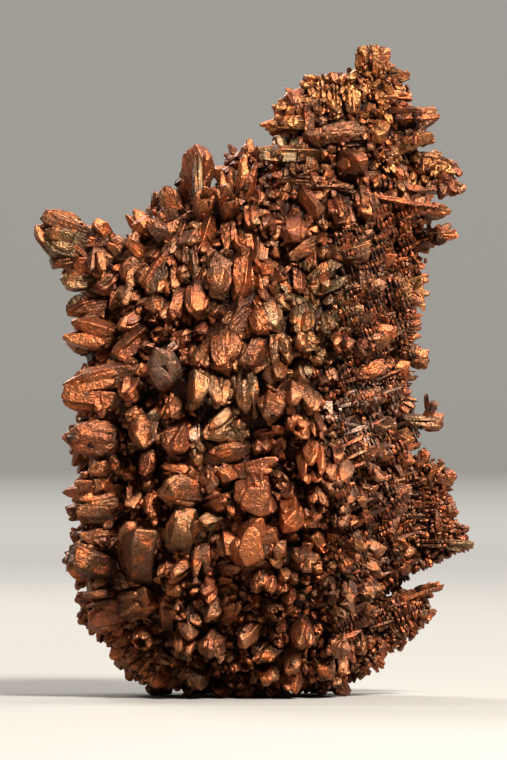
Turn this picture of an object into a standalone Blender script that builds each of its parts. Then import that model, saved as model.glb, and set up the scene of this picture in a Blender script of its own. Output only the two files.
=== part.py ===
"""A nugget of native copper: stubby crystals grown together in one branching piece."""

import math
import random

import bmesh
import bpy
from mathutils import Vector

# Lengths below are in mm. The nugget stands 41 mm tall, about 28 wide and 20 deep.
MM = 0.001
SEED = 1

# The body under the crystals, one row for each height:
# height, centre across, half width, centre in depth, half depth
BODY = (
    (1.1, -0.1, 5.3, 0.2, 4.9),
    (3.0, -0.6, 7.1, 0.2, 6.5),
    (6.0, -0.9, 8.4, 0.1, 7.4),
    (10.0, -0.95, 8.9, 0.0, 7.9),
    (14.0, -0.9, 8.9, 0.0, 8.0),
    (18.0, -0.8, 9.0, 0.0, 7.7),
    (22.0, -0.5, 8.8, 0.0, 7.1),
    (25.0, 0.2, 8.5, 0.1, 6.5),
    (28.0, 1.0, 7.8, 0.2, 5.8),
    (29.8, 1.9, 7.2, 0.3, 5.0),
    (31.2, 3.3, 6.3, 0.3, 4.4),
    (32.2, 4.8, 5.1, 0.3, 4.0),
    (34.2, 6.0, 3.8, 0.3, 3.3),
    (36.2, 5.9, 3.4, 0.2, 2.7),
    (38.0, 6.1, 2.5, 0.1, 2.0),
    (38.8, 7.4, 1.3, 0.1, 1.3),
    (40.2, 7.6, 0.5, 0.0, 0.5),
)
BODY_SQUARENESS = 2.4
BODY_SEGMENTS = 14

# Arms that leave the body, as points across, depth, height and the radius there
ARMS = (
    ((-4.0, 0.0, 24.0, 3.4), (-8.4, -0.8, 26.4, 1.5), (-11.2, -1.0, 28.3, 0.7), (-12.4, -1.0, 29.2, 0.3)),
    ((6.0, 2.0, 17.8, 2.0), (9.6, 2.0, 17.4, 0.75), (11.6, 2.0, 17.2, 0.3)),
    ((6.5, 0.6, 32.6, 2.2), (10.4, 0.4, 32.8, 0.9), (12.6, 0.4, 32.2, 0.35)),
    ((4.5, 1.0, 4.6, 2.8), (8.4, 1.0, 5.2, 1.0), (11.2, 1.2, 6.6, 0.35)),
)
ARM_SEGMENTS = 6

# Thin plates on the right: outline across and up, then the front and back depth
PLATES = (
    (((4.8, 9.4), (12.9, 9.3), (12.4, 11.0), (12.2, 13.3), (11.5, 14.2), (9.6, 14.9), (4.8, 15.3)), 1.2, 2.6),
    (((4.2, 2.2), (8.6, 3.0), (10.6, 4.6), (10.6, 5.6), (8.4, 5.9), (4.2, 5.3)), 0.4, 2.0),
    (((4.6, 6.1), (9.4, 7.7), (12.4, 8.9), (12.6, 9.7), (4.6, 10.3)), 1.8, 3.6),
    (((5.4, 22.1), (9.3, 21.8), (9.8, 24.4), (10.2, 27.2), (9.8, 30.6), (5.4, 30.8)), -0.6, 2.0),
)

# Crystals as seen from the front: root across, root up, tip across, tip up, width
LEFT_ARM = (
    (-11.3, 27.2, -13.85, 29.5, 0.9),
    (-10.4, 29.0, -13.4, 30.1, 1.0), (-10.6, 27.7, -13.2, 29.2, 1.1), (-9.4, 28.4, -10.8, 29.2, 0.9),
    (-8.6, 27.8, -8.9, 28.9, 0.9), (-10.5, 26.9, -12.1, 26.0, 1.0), (-7.4, 26.4, -7.5, 25.3, 0.9),
    (-5.7, 26.8, -6.7, 25.1, 1.0), (-9.2, 24.9, -11.8, 24.3, 1.2), (-9.0, 24.0, -11.2, 23.2, 0.9),
    (-8.6, 22.5, -11.9, 23.1, 1.4), (-7.2, 23.8, -8.5, 23.1, 0.9), (-7.0, 22.7, -8.7, 21.3, 0.9),
    (-7.7, 25.3, -8.2, 24.3, 1.0), (-6.2, 24.7, -6.0, 24.0, 0.9),
)
LEFT_FLANK = (
    (-7.6, 20.2, -12.0, 19.6, 1.4), (-8.0, 18.6, -12.05, 18.8, 1.4), (-7.4, 19.8, -7.7, 18.4, 1.2),
    (-5.0, 19.6, -6.3, 21.9, 1.9), (-8.4, 16.2, -12.0, 16.2, 2.1), (-8.4, 13.1, -11.9, 12.7, 1.6),
    (-8.2, 11.8, -11.2, 11.9, 1.3), (-9.2, 13.8, -9.5, 12.5, 0.9), (-8.2, 14.0, -8.9, 15.2, 1.2),
    (-6.9, 17.4, -6.6, 15.5, 1.8), (-4.2, 17.0, -5.1, 15.3, 1.4), (-6.5, 15.2, -6.8, 13.9, 1.3),
    (-3.6, 14.1, -5.8, 14.4, 0.9), (-3.4, 12.8, -5.6, 13.0, 1.6), (-7.3, 13.4, -7.5, 11.7, 1.1),
    (-6.1, 12.6, -6.4, 11.0, 1.3), (-4.4, 9.2, -4.4, 11.9, 1.8), (-7.1, 7.9, -6.9, 11.0, 2.1),
    (-8.0, 8.2, -8.4, 10.9, 0.9), (-8.6, 8.2, -11.6, 8.6, 1.9), (-8.2, 10.3, -10.9, 10.1, 0.9),
    (-7.3, 17.9, -7.6, 17.2, 1.0), (-4.7, 18.4, -4.9, 17.6, 1.0), (-8.0, 14.6, -10.5, 14.2, 1.0),
)
LOWER_LEFT = (
    (-8.9, 7.6, -10.3, 7.0, 1.2), (-8.4, 7.2, -8.6, 5.5, 1.0), (-8.1, 5.9, -6.1, 6.4, 1.7),
    (-8.0, 6.4, -10.8, 6.1, 0.9), (-8.0, 5.2, -10.4, 4.6, 1.3), (-7.6, 3.9, -9.1, 3.1, 1.2),
    (-7.1, 3.2, -8.7, 2.1, 1.1), (-6.4, 2.6, -7.8, 1.6, 1.0), (-6.7, 4.1, -7.1, 3.2, 1.2),
    (-6.7, 4.0, -5.4, 4.4, 0.9), (-5.4, 5.0, -5.6, 6.6, 1.0), (-5.2, 5.7, -4.5, 5.3, 0.9),
    (-4.4, 8.5, -5.6, 7.7, 1.3), (-5.0, 7.5, -4.9, 6.7, 1.0), (-4.1, 4.6, -4.2, 3.3, 1.4),
    (-5.9, 2.9, -5.2, 2.4, 0.9), (-6.0, 2.1, -4.7, 1.6, 0.9), (-5.5, 2.2, -6.1, 0.5, 1.1),
    (-3.6, 5.6, -3.8, 4.5, 0.9), (-5.9, 2.6, -7.1, 1.0, 1.0),
)
CENTRE = (
    (-2.2, 27.2, -2.1, 25.0, 1.4), (-0.6, 27.4, -0.6, 24.6, 1.4), (-3.3, 25.4, -3.7, 23.8, 1.1),
    (-4.7, 24.9, -5.0, 23.7, 0.9), (-0.8, 24.2, -1.5, 22.5, 1.1), (0.2, 23.9, 0.6, 22.6, 1.0),
    (1.1, 24.3, 1.4, 22.9, 1.0), (3.1, 24.1, 2.9, 22.7, 1.0), (3.2, 22.5, 3.2, 21.9, 1.0),
    (4.4, 23.5, 4.4, 22.9, 1.0), (1.6, 22.4, 1.6, 20.7, 1.1), (0.3, 22.0, -0.3, 20.5, 1.2),
    (-1.9, 22.6, -2.1, 20.4, 1.6), (-3.2, 21.4, -3.4, 20.5, 1.1), (-3.1, 20.3, -3.0, 18.0, 1.9),
    (-0.5, 20.5, -0.4, 17.3, 1.4), (1.4, 20.6, 1.6, 19.4, 1.2), (1.3, 19.2, 1.2, 17.5, 1.4),
    (2.9, 19.3, 2.8, 17.7, 1.6), (2.7, 17.5, 2.6, 16.5, 1.3), (-1.6, 17.4, -3.2, 16.4, 1.2),
    (-2.5, 15.2, -0.3, 15.5, 1.0), (-3.5, 16.0, -3.5, 15.1, 0.9), (-1.2, 14.1, 1.6, 14.7, 1.0),
    (0.2, 13.0, 0.0, 12.3, 1.8), (-1.3, 12.4, -1.2, 11.2, 0.9), (-2.6, 12.2, -1.8, 12.6, 1.0),
    (-2.9, 14.1, -2.7, 13.0, 1.0), (3.5, 15.4, 3.6, 13.9, 1.6), (2.4, 12.1, 2.3, 10.7, 1.4),
    (4.0, 13.0, 4.0, 11.9, 1.1), (5.6, 22.4, 5.4, 21.9, 1.0),
)
LOWER_CENTRE = (
    (-2.2, 11.2, -3.2, 11.0, 1.0), (-1.6, 10.4, -1.6, 9.0, 1.0), (-3.2, 9.8, -3.3, 7.6, 1.1),
    (0.1, 8.6, 0.1, 11.3, 2.1), (1.7, 9.9, 1.5, 9.2, 1.0), (1.5, 9.0, 1.5, 8.4, 0.9),
    (3.1, 9.1, 3.0, 8.3, 1.2), (3.6, 11.6, 3.6, 10.9, 1.0), (2.1, 7.9, 2.1, 7.0, 1.2),
    (0.7, 7.9, 0.5, 6.5, 1.2), (-2.7, 7.0, -2.9, 6.4, 1.0), (-2.6, 6.1, -2.5, 5.1, 1.0),
    (-1.7, 5.3, -1.2, 6.2, 1.1), (2.1, 6.8, 2.1, 6.1, 1.0), (1.0, 5.9, 1.6, 5.2, 1.0),
    (0.1, 4.4, -0.6, 3.3, 1.0), (3.0, 4.6, 2.9, 3.1, 1.2), (1.3, 3.0, 0.5, 2.5, 1.1),
    (-2.2, 3.9, -2.8, 3.0, 1.2), (-1.3, 2.7, -1.3, 2.0, 0.9), (-3.2, 1.9, -3.8, 1.0, 1.3),
    (0.9, 1.9, 0.8, 1.2, 1.0), (2.4, 2.9, 2.5, 1.7, 1.0), (2.5, 1.8, 2.4, 0.5, 1.1),
    (4.5, 2.2, 4.4, 1.3, 1.1),
)
LOWER_RIGHT = (
    (5.2, 3.6, 5.2, 2.9, 1.3), (5.0, 5.6, 5.5, 5.2, 1.0), (4.6, 7.3, 4.6, 6.7, 0.9),
    (5.8, 6.8, 5.8, 6.2, 1.1), (5.6, 8.6, 5.7, 8.0, 0.9), (7.0, 7.0, 7.3, 6.4, 1.0),
    (6.4, 9.9, 6.6, 9.4, 1.0), (5.5, 11.6, 5.5, 10.9, 1.1), (5.0, 14.0, 5.0, 13.1, 1.9),
    (5.6, 13.0, 5.4, 12.1, 1.2), (6.5, 12.8, 6.6, 12.1, 1.0), (5.4, 2.4, 5.6, 1.5, 0.9),
    (5.0, 1.8, 5.0, 0.6, 1.0), (6.6, 3.6, 6.9, 2.6, 0.9),
)
RIGHT_FLANK = (
    (5.2, 15.6, 5.3, 14.7, 0.9), (6.9, 16.5, 6.7, 15.6, 0.9), (7.0, 17.0, 3.8, 17.9, 1.0),
    (3.9, 17.4, 3.9, 16.5, 0.9), (6.7, 19.0, 6.4, 18.2, 1.0), (6.0, 15.0, 8.2, 15.7, 0.7),
    (7.2, 16.9, 8.9, 17.4, 0.8), (6.0, 20.1, 8.0, 20.6, 0.7), (4.8, 23.6, 6.8, 24.6, 0.7),
    (5.6, 22.9, 7.6, 24.1, 0.7), (4.2, 25.5, 5.9, 26.1, 0.7), (6.0, 11.0, 7.6, 11.7, 0.7),
    (6.9, 12.9, 8.1, 12.3, 0.7), (7.0, 14.4, 8.2, 13.6, 0.8), (6.3, 18.4, 8.3, 18.7, 0.7),
    (4.4, 27.5, 7.4, 28.2, 1.0), (5.2, 24.9, 8.2, 26.2, 1.0), (6.2, 21.2, 8.6, 22.6, 1.0),
)
UPPER = (
    (-3.7, 30.8, -3.7, 34.75, 1.7), (-5.0, 29.6, -5.6, 32.1, 1.2), (-5.4, 28.6, -6.6, 30.0, 1.0),
    (-6.6, 27.6, -7.9, 28.9, 1.0), (-1.5, 31.2, -1.85, 33.3, 1.1), (-0.6, 31.2, -0.15, 34.0, 1.1),
    (-3.0, 30.3, -3.0, 31.5, 1.4), (-1.6, 30.3, -1.5, 31.6, 1.4), (-4.3, 29.5, -4.4, 28.2, 0.9),
    (-2.7, 29.7, -2.8, 27.9, 1.1), (-1.6, 29.3, -1.6, 28.0, 0.9), (0.35, 28.6, 0.3, 27.1, 0.9),
    (-3.8, 28.0, -3.7, 26.4, 1.0), (0.0, 30.3, 0.0, 29.4, 1.0), (0.9, 29.7, 0.9, 29.0, 1.0),
    (2.5, 29.5, 2.6, 28.6, 1.3), (3.5, 28.3, 2.0, 27.7, 1.0), (1.5, 32.5, 4.3, 33.3, 0.9),
    (2.3, 32.2, 6.0, 31.8, 1.1), (3.2, 31.3, 4.3, 30.2, 1.0), (4.9, 26.9, 3.3, 26.1, 1.0),
    (5.2, 30.9, 5.6, 29.9, 1.0), (6.9, 31.4, 7.2, 30.2, 1.0), (5.8, 33.7, 7.0, 33.2, 1.2),
)
TOWER = (
    (7.1, 39.2, 6.9, 40.9, 1.1), (7.9, 38.6, 7.7, 41.0, 1.1), (7.2, 39.5, 6.0, 39.1, 0.9),
    (8.2, 38.7, 9.9, 39.1, 0.9), (8.0, 37.6, 10.0, 37.7, 0.9), (8.2, 36.5, 11.6, 36.5, 1.2),
    (9.0, 34.4, 11.2, 35.4, 1.2), (10.3, 33.7, 12.9, 32.9, 1.0), (11.0, 32.0, 13.45, 32.1, 1.1),
    (9.0, 30.6, 12.5, 30.5, 0.9), (9.6, 29.0, 12.85, 29.0, 1.0), (3.6, 37.3, 1.3, 36.9, 0.9),
    (3.4, 36.0, 0.35, 36.0, 1.2), (3.0, 37.6, 2.4, 35.2, 1.0), (3.6, 38.2, 3.4, 35.5, 1.1),
    (4.5, 38.3, 4.3, 36.6, 0.9), (5.4, 38.4, 5.3, 37.0, 0.9), (6.1, 38.2, 6.2, 36.4, 1.1),
    (7.1, 38.3, 7.1, 37.2, 0.9), (8.2, 37.6, 8.3, 36.1, 0.9), (7.2, 35.2, 3.0, 35.1, 1.7),
    (4.0, 34.0, 0.2, 34.1, 1.3), (8.0, 35.7, 8.0, 34.8, 1.4), (8.4, 34.3, 8.5, 33.4, 0.9),
)
RIGHT_EDGE = (
    (9.2, 30.8, 9.6, 29.2, 1.0), (9.6, 27.2, 10.8, 24.2, 1.1), (9.3, 24.3, 9.6, 22.2, 0.9),
    (8.4, 21.3, 11.15, 21.6, 1.0), (9.4, 28.4, 11.1, 28.0, 0.8), (8.2, 19.9, 10.4, 20.1, 0.8),
    (8.2, 18.6, 10.3, 18.5, 0.8), (9.4, 17.4, 12.0, 17.2, 0.9), (10.8, 17.4, 11.4, 18.6, 0.6),
    (8.6, 16.2, 10.4, 15.7, 0.6),
)
RIGHT_PLATES = (
    (9.8, 13.7, 11.2, 13.6, 1.0), (11.65, 9.9, 11.65, 13.0, 0.9), (11.5, 13.8, 12.7, 13.5, 1.0),
    (11.2, 13.4, 11.8, 14.7, 1.0), (11.6, 11.9, 12.9, 11.4, 1.0), (12.0, 10.7, 13.6, 10.4, 0.8),
    (12.2, 9.6, 13.95, 9.5, 1.0), (10.4, 14.4, 10.8, 15.6, 0.8), (9.2, 9.7, 10.0, 9.5, 1.0),
    (10.2, 12.7, 11.1, 12.7, 0.6), (10.2, 12.0, 11.1, 12.0, 0.6), (10.2, 11.3, 11.1, 11.2, 0.6),
    (10.2, 10.4, 11.1, 10.4, 0.7), (8.0, 12.05, 9.1, 12.0, 0.7), (7.8, 10.6, 9.0, 10.1, 0.8),
)
LOWER_BLADE = (
    (7.4, 5.2, 11.9, 6.95, 1.0), (9.6, 5.2, 10.8, 5.7, 0.9), (10.2, 5.0, 11.6, 5.2, 0.9),
    (9.2, 5.0, 10.4, 4.0, 0.9), (8.6, 4.6, 9.8, 3.4, 0.9), (8.0, 4.0, 9.0, 2.7, 0.9),
    (7.2, 3.6, 7.9, 2.3, 1.3),
)

# Worn tips that carry the nugget: across, depth and width of each. They are cut flat at the floor
FEET = (
    (-3.3, -3.3, 1.9), (-1.5, -4.3, 1.8), (0.8, -3.7, 1.9), (-6.0, 0.3, 1.8), (5.0, -0.8, 1.8),
    (-3.2, 3.6, 1.9), (0.9, 4.4, 1.9), (4.4, 2.6, 1.8), (-1.2, 0.4, 2.6),
)
FOOT_ROOT = 2.6
FOOT_REACH = -0.7
FOOT_GATHER = 0.8

# How the front crystals stand: length over width, least and most rise, and how deep the root is sunk
LENGTH_RATIO = 1.8
LEAST_RISE = 0.35
MOST_RISE = 2.2
SINK = 0.7

# Near the body's edge a crystal points sideways: the depth where it faces fully forward, and the least
FACING_DEPTH = 4.0
LEAST_FACING = 0.15

# Rows of crystals round the sides and the back, with how much each may differ from its row
ROW_FIRST = 2.6
ROW_LAST = 37.5
ROW_GAP = 3.3
ROW_SPACING = 4.3
LEFT_WIDTH = 3.5
RIGHT_WIDTH = 2.6
ROW_REACH = 1.8
ROW_SINK = 1.2
FRONT_LIMIT = -0.28
TURN_JITTER = 0.2
LEVEL_JITTER = 0.5
SIZE_RANGE = (0.85, 1.15)
LEAN_JITTER = 0.25

# The widths above hold at these places across; crystals point level at this height
FAR_LEFT = -10.0
FAR_RIGHT = 10.0
LEVEL_HEIGHT = 18.0
LEAN_HEIGHT = 26.0

# A crystal's radius over its width at the foot and at the shoulder
FOOT_SPREAD = 0.5
SHOULDER_SPREAD = 0.6

# Least and most of a crystal's depth over its width and of its shoulder's place, and how far
# its point may stand off its axis
FLATNESS = (0.78, 1.0)
SHOULDER = (0.6, 0.74)
TIP_SHIFT = 0.1

# Crystals wider than this have five sides, and the others four
MANY_SIDED = 1.75

# The body's front also counts a little below its lowest row
BODY_MARGIN = 0.6

# Half the width and the depth of the block that cuts the feet
BLOCK_HALF = 30.0
BLOCK_DEPTH = 6.0


def body_at(height):
    """Centre across, half width, centre in depth and half depth of the body at a height."""
    for low, high in zip(BODY, BODY[1:]):
        if height <= high[0]:
            break
    share = (height - low[0]) / (high[0] - low[0])
    share = min(max(share, 0.0), 1.0)
    return [a + (b - a) * share for a, b in zip(low[1:], high[1:])]


def front_depth(across, height, fallback):
    """Depth of the body's front at a place, or the fallback where the body isn't there."""
    centre, half, centre_depth, half_depth = body_at(height)
    reach = abs(across - centre) / half
    if reach >= 1.0 or not BODY[0][0] - BODY_MARGIN <= height <= BODY[-1][0]:
        return fallback
    return centre_depth - half_depth * (1.0 - reach ** BODY_SQUARENESS) ** (1.0 / BODY_SQUARENESS)


def solid(name, points, faces):
    """One closed mesh object from points in mm, with its faces turned outward."""
    mesh = bpy.data.meshes.new(name)
    mesh.from_pydata([Vector(point) * MM for point in points], [], faces)
    shell = bmesh.new()
    shell.from_mesh(mesh)
    bmesh.ops.recalc_face_normals(shell, faces=shell.faces)
    shell.to_mesh(mesh)
    shell.free()
    thing = bpy.data.objects.new(name, mesh)
    bpy.context.scene.collection.objects.link(thing)
    return thing


def loft(name, rings):
    """A closed skin over rings that all have the same number of points."""
    count = len(rings[0])
    points = [point for ring in rings for point in ring]
    faces = [list(range(count)), list(range(len(points) - count, len(points)))]
    for level in range(len(rings) - 1):
        for step in range(count):
            nxt = (step + 1) % count
            low = level * count
            faces.append((low + step, low + nxt, low + count + nxt, low + count + step))
    return solid(name, points, faces)


def body():
    """The body as a stack of rounded sections."""
    rings = []
    power = 2.0 / BODY_SQUARENESS
    for height, centre, half, centre_depth, half_depth in BODY:
        ring = []
        for step in range(BODY_SEGMENTS):
            turn = 2.0 * math.pi * step / BODY_SEGMENTS
            cosine, sine = math.cos(turn), math.sin(turn)
            across = centre + half * math.copysign(abs(cosine) ** power, cosine)
            depth = centre_depth + half_depth * math.copysign(abs(sine) ** power, sine)
            ring.append((across, depth, height))
        rings.append(ring)
    return loft("body", rings)


def frame_of(direction, roll):
    """Two directions square to the given one, turned round it by roll."""
    side = direction.orthogonal().normalized()
    up = direction.cross(side)
    return (side * math.cos(roll) + up * math.sin(roll), up * math.cos(roll) - side * math.sin(roll))


def arm(points):
    """A tapering arm through points with radii."""
    rings = []
    places = [Vector(point[:3]) for point in points]
    side, up = frame_of((places[-1] - places[0]).normalized(), 0.0)
    for place, point in zip(places, points):
        ring = []
        for step in range(ARM_SEGMENTS):
            turn = 2.0 * math.pi * step / ARM_SEGMENTS
            ring.append(place + (side * math.cos(turn) + up * math.sin(turn)) * point[3])
        rings.append(ring)
    return loft("arm", rings)


def plate(outline, front, back):
    """A flat plate with the given outline, between two depths."""
    rings = [[(across, depth, height) for across, height in outline] for depth in (front, back)]
    return loft("plate", rings)


def crystal(root, tip, width, draw):
    """One crystal: a prism with four or five sides that swells to a shoulder and ends in a point."""
    axis = tip - root
    side, up = frame_of(axis.normalized(), draw.uniform(0.0, math.pi))
    sides = 5 if width > MANY_SIDED else 4
    flatness = draw.uniform(*FLATNESS)
    shoulder = draw.uniform(*SHOULDER)
    rings = []
    for share, spread in ((0.0, FOOT_SPREAD), (shoulder, SHOULDER_SPREAD)):
        ring = []
        for step in range(sides):
            turn = 2.0 * math.pi * step / sides
            offset = side * math.cos(turn) + up * math.sin(turn) * flatness
            ring.append(root + axis * share + offset * width * spread)
        rings.append(ring)
    points = rings[0] + rings[1] + [tip + side * width * draw.uniform(-TIP_SHIFT, TIP_SHIFT)]
    faces = [list(range(sides))]
    for step in range(sides):
        nxt = (step + 1) % sides
        faces.append((step, nxt, sides + nxt, sides + step))
        faces.append((sides + step, sides + nxt, 2 * sides))
    return solid("crystal", points, faces)


def front_crystals(rows, fallback, draw):
    """The crystals read from the front: each rises from the body by what its width asks."""
    made = []
    for root_x, root_z, tip_x, tip_z, width in rows:
        span = math.hypot(tip_x - root_x, tip_z - root_z)
        depth = front_depth(root_x, root_z, fallback)
        rise = math.sqrt(max((LENGTH_RATIO * width) ** 2 - span ** 2, (LEAST_RISE * width) ** 2))
        rise = min(rise, MOST_RISE)
        facing = min(1.0, max(LEAST_FACING, (fallback - depth) / FACING_DEPTH))
        root = Vector((root_x, depth, root_z))
        tip = Vector((tip_x, depth - rise * facing, tip_z))
        root -= (tip - root).normalized() * SINK
        made.append(crystal(root, tip, width, draw))
    return made


def side_crystals(draw):
    """Rows of crystals round the sides and the back, wider on the left than on the right."""
    made = []
    rows = int((ROW_LAST - ROW_FIRST) / ROW_GAP) + 1
    for row in range(rows):
        level = ROW_FIRST + row * ROW_GAP
        centre, half, centre_depth, half_depth = body_at(level)
        count = max(4, round(math.pi * (half + half_depth) / ROW_SPACING))
        for step in range(count):
            shift = 0.5 * (row % 2) + draw.uniform(-TURN_JITTER, TURN_JITTER)
            turn = 2.0 * math.pi * (step + shift) / count
            height = level + draw.uniform(-LEVEL_JITTER, LEVEL_JITTER)
            size = draw.uniform(*SIZE_RANGE)
            lean = draw.uniform(-LEAN_JITTER, LEAN_JITTER)
            if math.sin(turn) < FRONT_LIMIT:
                continue
            out = Vector((math.cos(turn), math.sin(turn), 0.0))
            root = Vector((centre + half * out.x, centre_depth + half_depth * out.y, height))
            share = (root.x - FAR_LEFT) / (FAR_RIGHT - FAR_LEFT)
            width = (LEFT_WIDTH + (RIGHT_WIDTH - LEFT_WIDTH) * share) * size
            out.z = (height - LEVEL_HEIGHT) / LEAN_HEIGHT + lean
            out.normalize()
            made.append(crystal(root - out * ROW_SINK, root + out * ROW_REACH * size, width, draw))
    return made


def feet(draw):
    """The worn tips under the body, which reach past the floor and are cut off there."""
    made = []
    for across, depth, width in FEET:
        root = Vector((across * FOOT_GATHER, depth * FOOT_GATHER, FOOT_ROOT))
        made.append(crystal(root, Vector((across, depth, FOOT_REACH)), width, draw))
    return made


def fused(base, parts, operation="UNION"):
    """Joins the parts to the base with one Boolean, or cuts them from it, and removes the parts."""
    tools = bpy.data.collections.new("tools")
    bpy.context.scene.collection.children.link(tools)
    for item in parts:
        tools.objects.link(item)
    joint = base.modifiers.new("join", "BOOLEAN")
    joint.operation = operation
    joint.solver = "EXACT"
    joint.operand_type = "COLLECTION"
    joint.collection = tools
    view = bpy.context.evaluated_depsgraph_get()
    result = bpy.data.meshes.new_from_object(base.evaluated_get(view))
    base.modifiers.clear()
    base.data = result
    for item in parts:
        bpy.data.objects.remove(item)
    bpy.data.collections.remove(tools)
    return base


def outer_shell(thing):
    """Keeps the largest connected skin, so that gaps closed in between crystals are solid."""
    shell = bmesh.new()
    shell.from_mesh(thing.data)
    bmesh.ops.triangulate(shell, faces=shell.faces)
    seen = set()
    skins = []
    for first in shell.verts:
        if first in seen:
            continue
        seen.add(first)
        skin, waiting = [], [first]
        while waiting:
            vert = waiting.pop()
            skin.append(vert)
            for edge in vert.link_edges:
                other = edge.other_vert(vert)
                if other not in seen:
                    seen.add(other)
                    waiting.append(other)
        skins.append(skin)
    skins.sort(key=len, reverse=True)
    for skin in skins[1:]:
        bmesh.ops.delete(shell, geom=skin, context="VERTS")
    shell.to_mesh(thing.data)
    shell.free()


def floor_block():
    """A block under the floor, which cuts the feet flat."""
    half, low = BLOCK_HALF, -BLOCK_DEPTH
    outline = ((-half, low), (half, low), (half, 0.0), (-half, 0.0))
    return plate(outline, -half, half)


def copper():
    """Native copper with a brown skin of oxide: reddish, half metallic, rather rough."""
    material = bpy.data.materials.new("native_copper")
    material.use_nodes = True
    shader = material.node_tree.nodes["Principled BSDF"]
    shader.inputs["Base Color"].default_value = (0.33, 0.115, 0.05, 1.0)
    shader.inputs["Metallic"].default_value = 0.75
    shader.inputs["Roughness"].default_value = 0.5
    return material


def nugget():
    """The whole nugget as one solid."""
    draw = random.Random(SEED)
    base = body()
    limbs = [arm(points) for points in ARMS]
    limbs += [plate(*row) for row in PLATES]
    fused(base, limbs)
    grown = feet(draw)
    for rows, fallback in (
        (LEFT_ARM, -0.8), (LEFT_FLANK, 0.0), (LOWER_LEFT, 0.0), (CENTRE, 0.0), (LOWER_CENTRE, 0.0),
        (LOWER_RIGHT, 0.0), (RIGHT_FLANK, 0.0), (UPPER, 0.0), (TOWER, 0.0), (RIGHT_EDGE, 0.6),
        (RIGHT_PLATES, 1.4), (LOWER_BLADE, 0.8),
    ):
        grown += front_crystals(rows, fallback, draw)
    grown += side_crystals(draw)
    fused(base, grown)
    fused(base, [floor_block()], "DIFFERENCE")
    outer_shell(base)
    base.name = "copper_nugget"
    base.data.name = "copper_nugget"
    base.data.materials.clear()
    base.data.materials.append(copper())
    return base


def main():
    """Empties the scene and builds the nugget."""
    for item in list(bpy.data.objects):
        bpy.data.objects.remove(item)
    nugget()


main()
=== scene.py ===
"""Dresses the nugget of native copper: a dark core, and every crystal on it with its worn facets."""

from __future__ import annotations

import logging
import math
from dataclasses import dataclass, field
from enum import Enum

import bmesh
import bpy
import numpy as np
from mathutils import Euler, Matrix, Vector, noise
from mathutils.bvhtree import BVHTree
from mathutils.kdtree import KDTree


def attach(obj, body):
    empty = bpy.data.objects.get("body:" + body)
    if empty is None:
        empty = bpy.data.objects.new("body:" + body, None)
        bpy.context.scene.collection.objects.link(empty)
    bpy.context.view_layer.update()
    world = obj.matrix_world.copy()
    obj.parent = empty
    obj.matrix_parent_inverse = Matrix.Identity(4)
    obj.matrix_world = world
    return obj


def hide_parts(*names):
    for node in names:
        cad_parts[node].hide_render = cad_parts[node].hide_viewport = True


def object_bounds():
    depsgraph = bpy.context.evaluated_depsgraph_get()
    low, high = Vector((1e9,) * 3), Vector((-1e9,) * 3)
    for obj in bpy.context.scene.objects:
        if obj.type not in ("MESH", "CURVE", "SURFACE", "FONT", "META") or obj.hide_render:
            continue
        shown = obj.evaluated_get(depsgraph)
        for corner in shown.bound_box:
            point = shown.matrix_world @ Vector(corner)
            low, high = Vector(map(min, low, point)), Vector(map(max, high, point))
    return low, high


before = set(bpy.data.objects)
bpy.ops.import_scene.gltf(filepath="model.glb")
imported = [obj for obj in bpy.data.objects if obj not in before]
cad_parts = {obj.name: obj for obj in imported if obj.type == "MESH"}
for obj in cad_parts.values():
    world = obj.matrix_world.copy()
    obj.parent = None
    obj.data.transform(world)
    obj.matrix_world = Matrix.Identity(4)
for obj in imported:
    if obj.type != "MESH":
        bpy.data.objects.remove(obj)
CAD_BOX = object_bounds()

LOG = logging.getLogger("nugget")
MM = 0.001
SEED = 7
# The cells in mm that the solid's surface is sampled at, for the places of the crystals
GROUND_CELL = 0.3
# The outermost layer of the solids' box, in mm, that crystals which would leave the box are pressed into
BOX_LAYER = np.array([0.1, 0.3, 0.1])
NODE = "copper_nugget"

# Rows of crystals as seen from the front, in mm: root across, root up, tip across, tip up, width
Rows = tuple[tuple[float, float, float, float, float], ...]
# Crystals seen end on: across, up, width
Spots = tuple[tuple[float, float, float], ...]
# Rows of teeth: start across, start up, end across, end up, tooth across, tooth up, spacing, width
CombRows = tuple[tuple[float, float, float, float, float, float, float, float], ...]

# The source's body, one row for each height:
# height, centre across, half width, centre in depth, half depth
BODY = (
    (1.1, -0.1, 5.3, 0.2, 4.9), (3.0, -0.6, 7.1, 0.2, 6.5), (6.0, -0.9, 8.4, 0.1, 7.4),
    (10.0, -0.95, 8.9, 0.0, 7.9), (14.0, -0.9, 8.9, 0.0, 8.0), (18.0, -0.8, 9.0, 0.0, 7.7),
    (22.0, -0.5, 8.8, 0.0, 7.1), (25.0, 0.2, 8.5, 0.1, 6.5), (28.0, 1.0, 7.8, 0.2, 5.8),
    (29.8, 1.9, 7.2, 0.3, 5.0), (31.2, 3.3, 6.3, 0.3, 4.4), (32.2, 4.8, 5.1, 0.3, 4.0),
    (34.2, 6.0, 3.8, 0.3, 3.3), (36.2, 5.9, 3.4, 0.2, 2.7), (38.0, 6.1, 2.5, 0.1, 2.0),
    (38.8, 7.4, 1.3, 0.1, 1.3), (40.2, 7.6, 0.5, 0.0, 0.5),
)
BODY_SQUARENESS = 2.4
BODY_MARGIN = 0.6

# How the source's front crystals stand on the body: length over width, least and most rise, sunk root
LENGTH_RATIO = 1.8
LEAST_RISE = 0.35
MOST_RISE = 2.2
SINK = 0.7
FACING_DEPTH = 4.0
LEAST_FACING = 0.15


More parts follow.
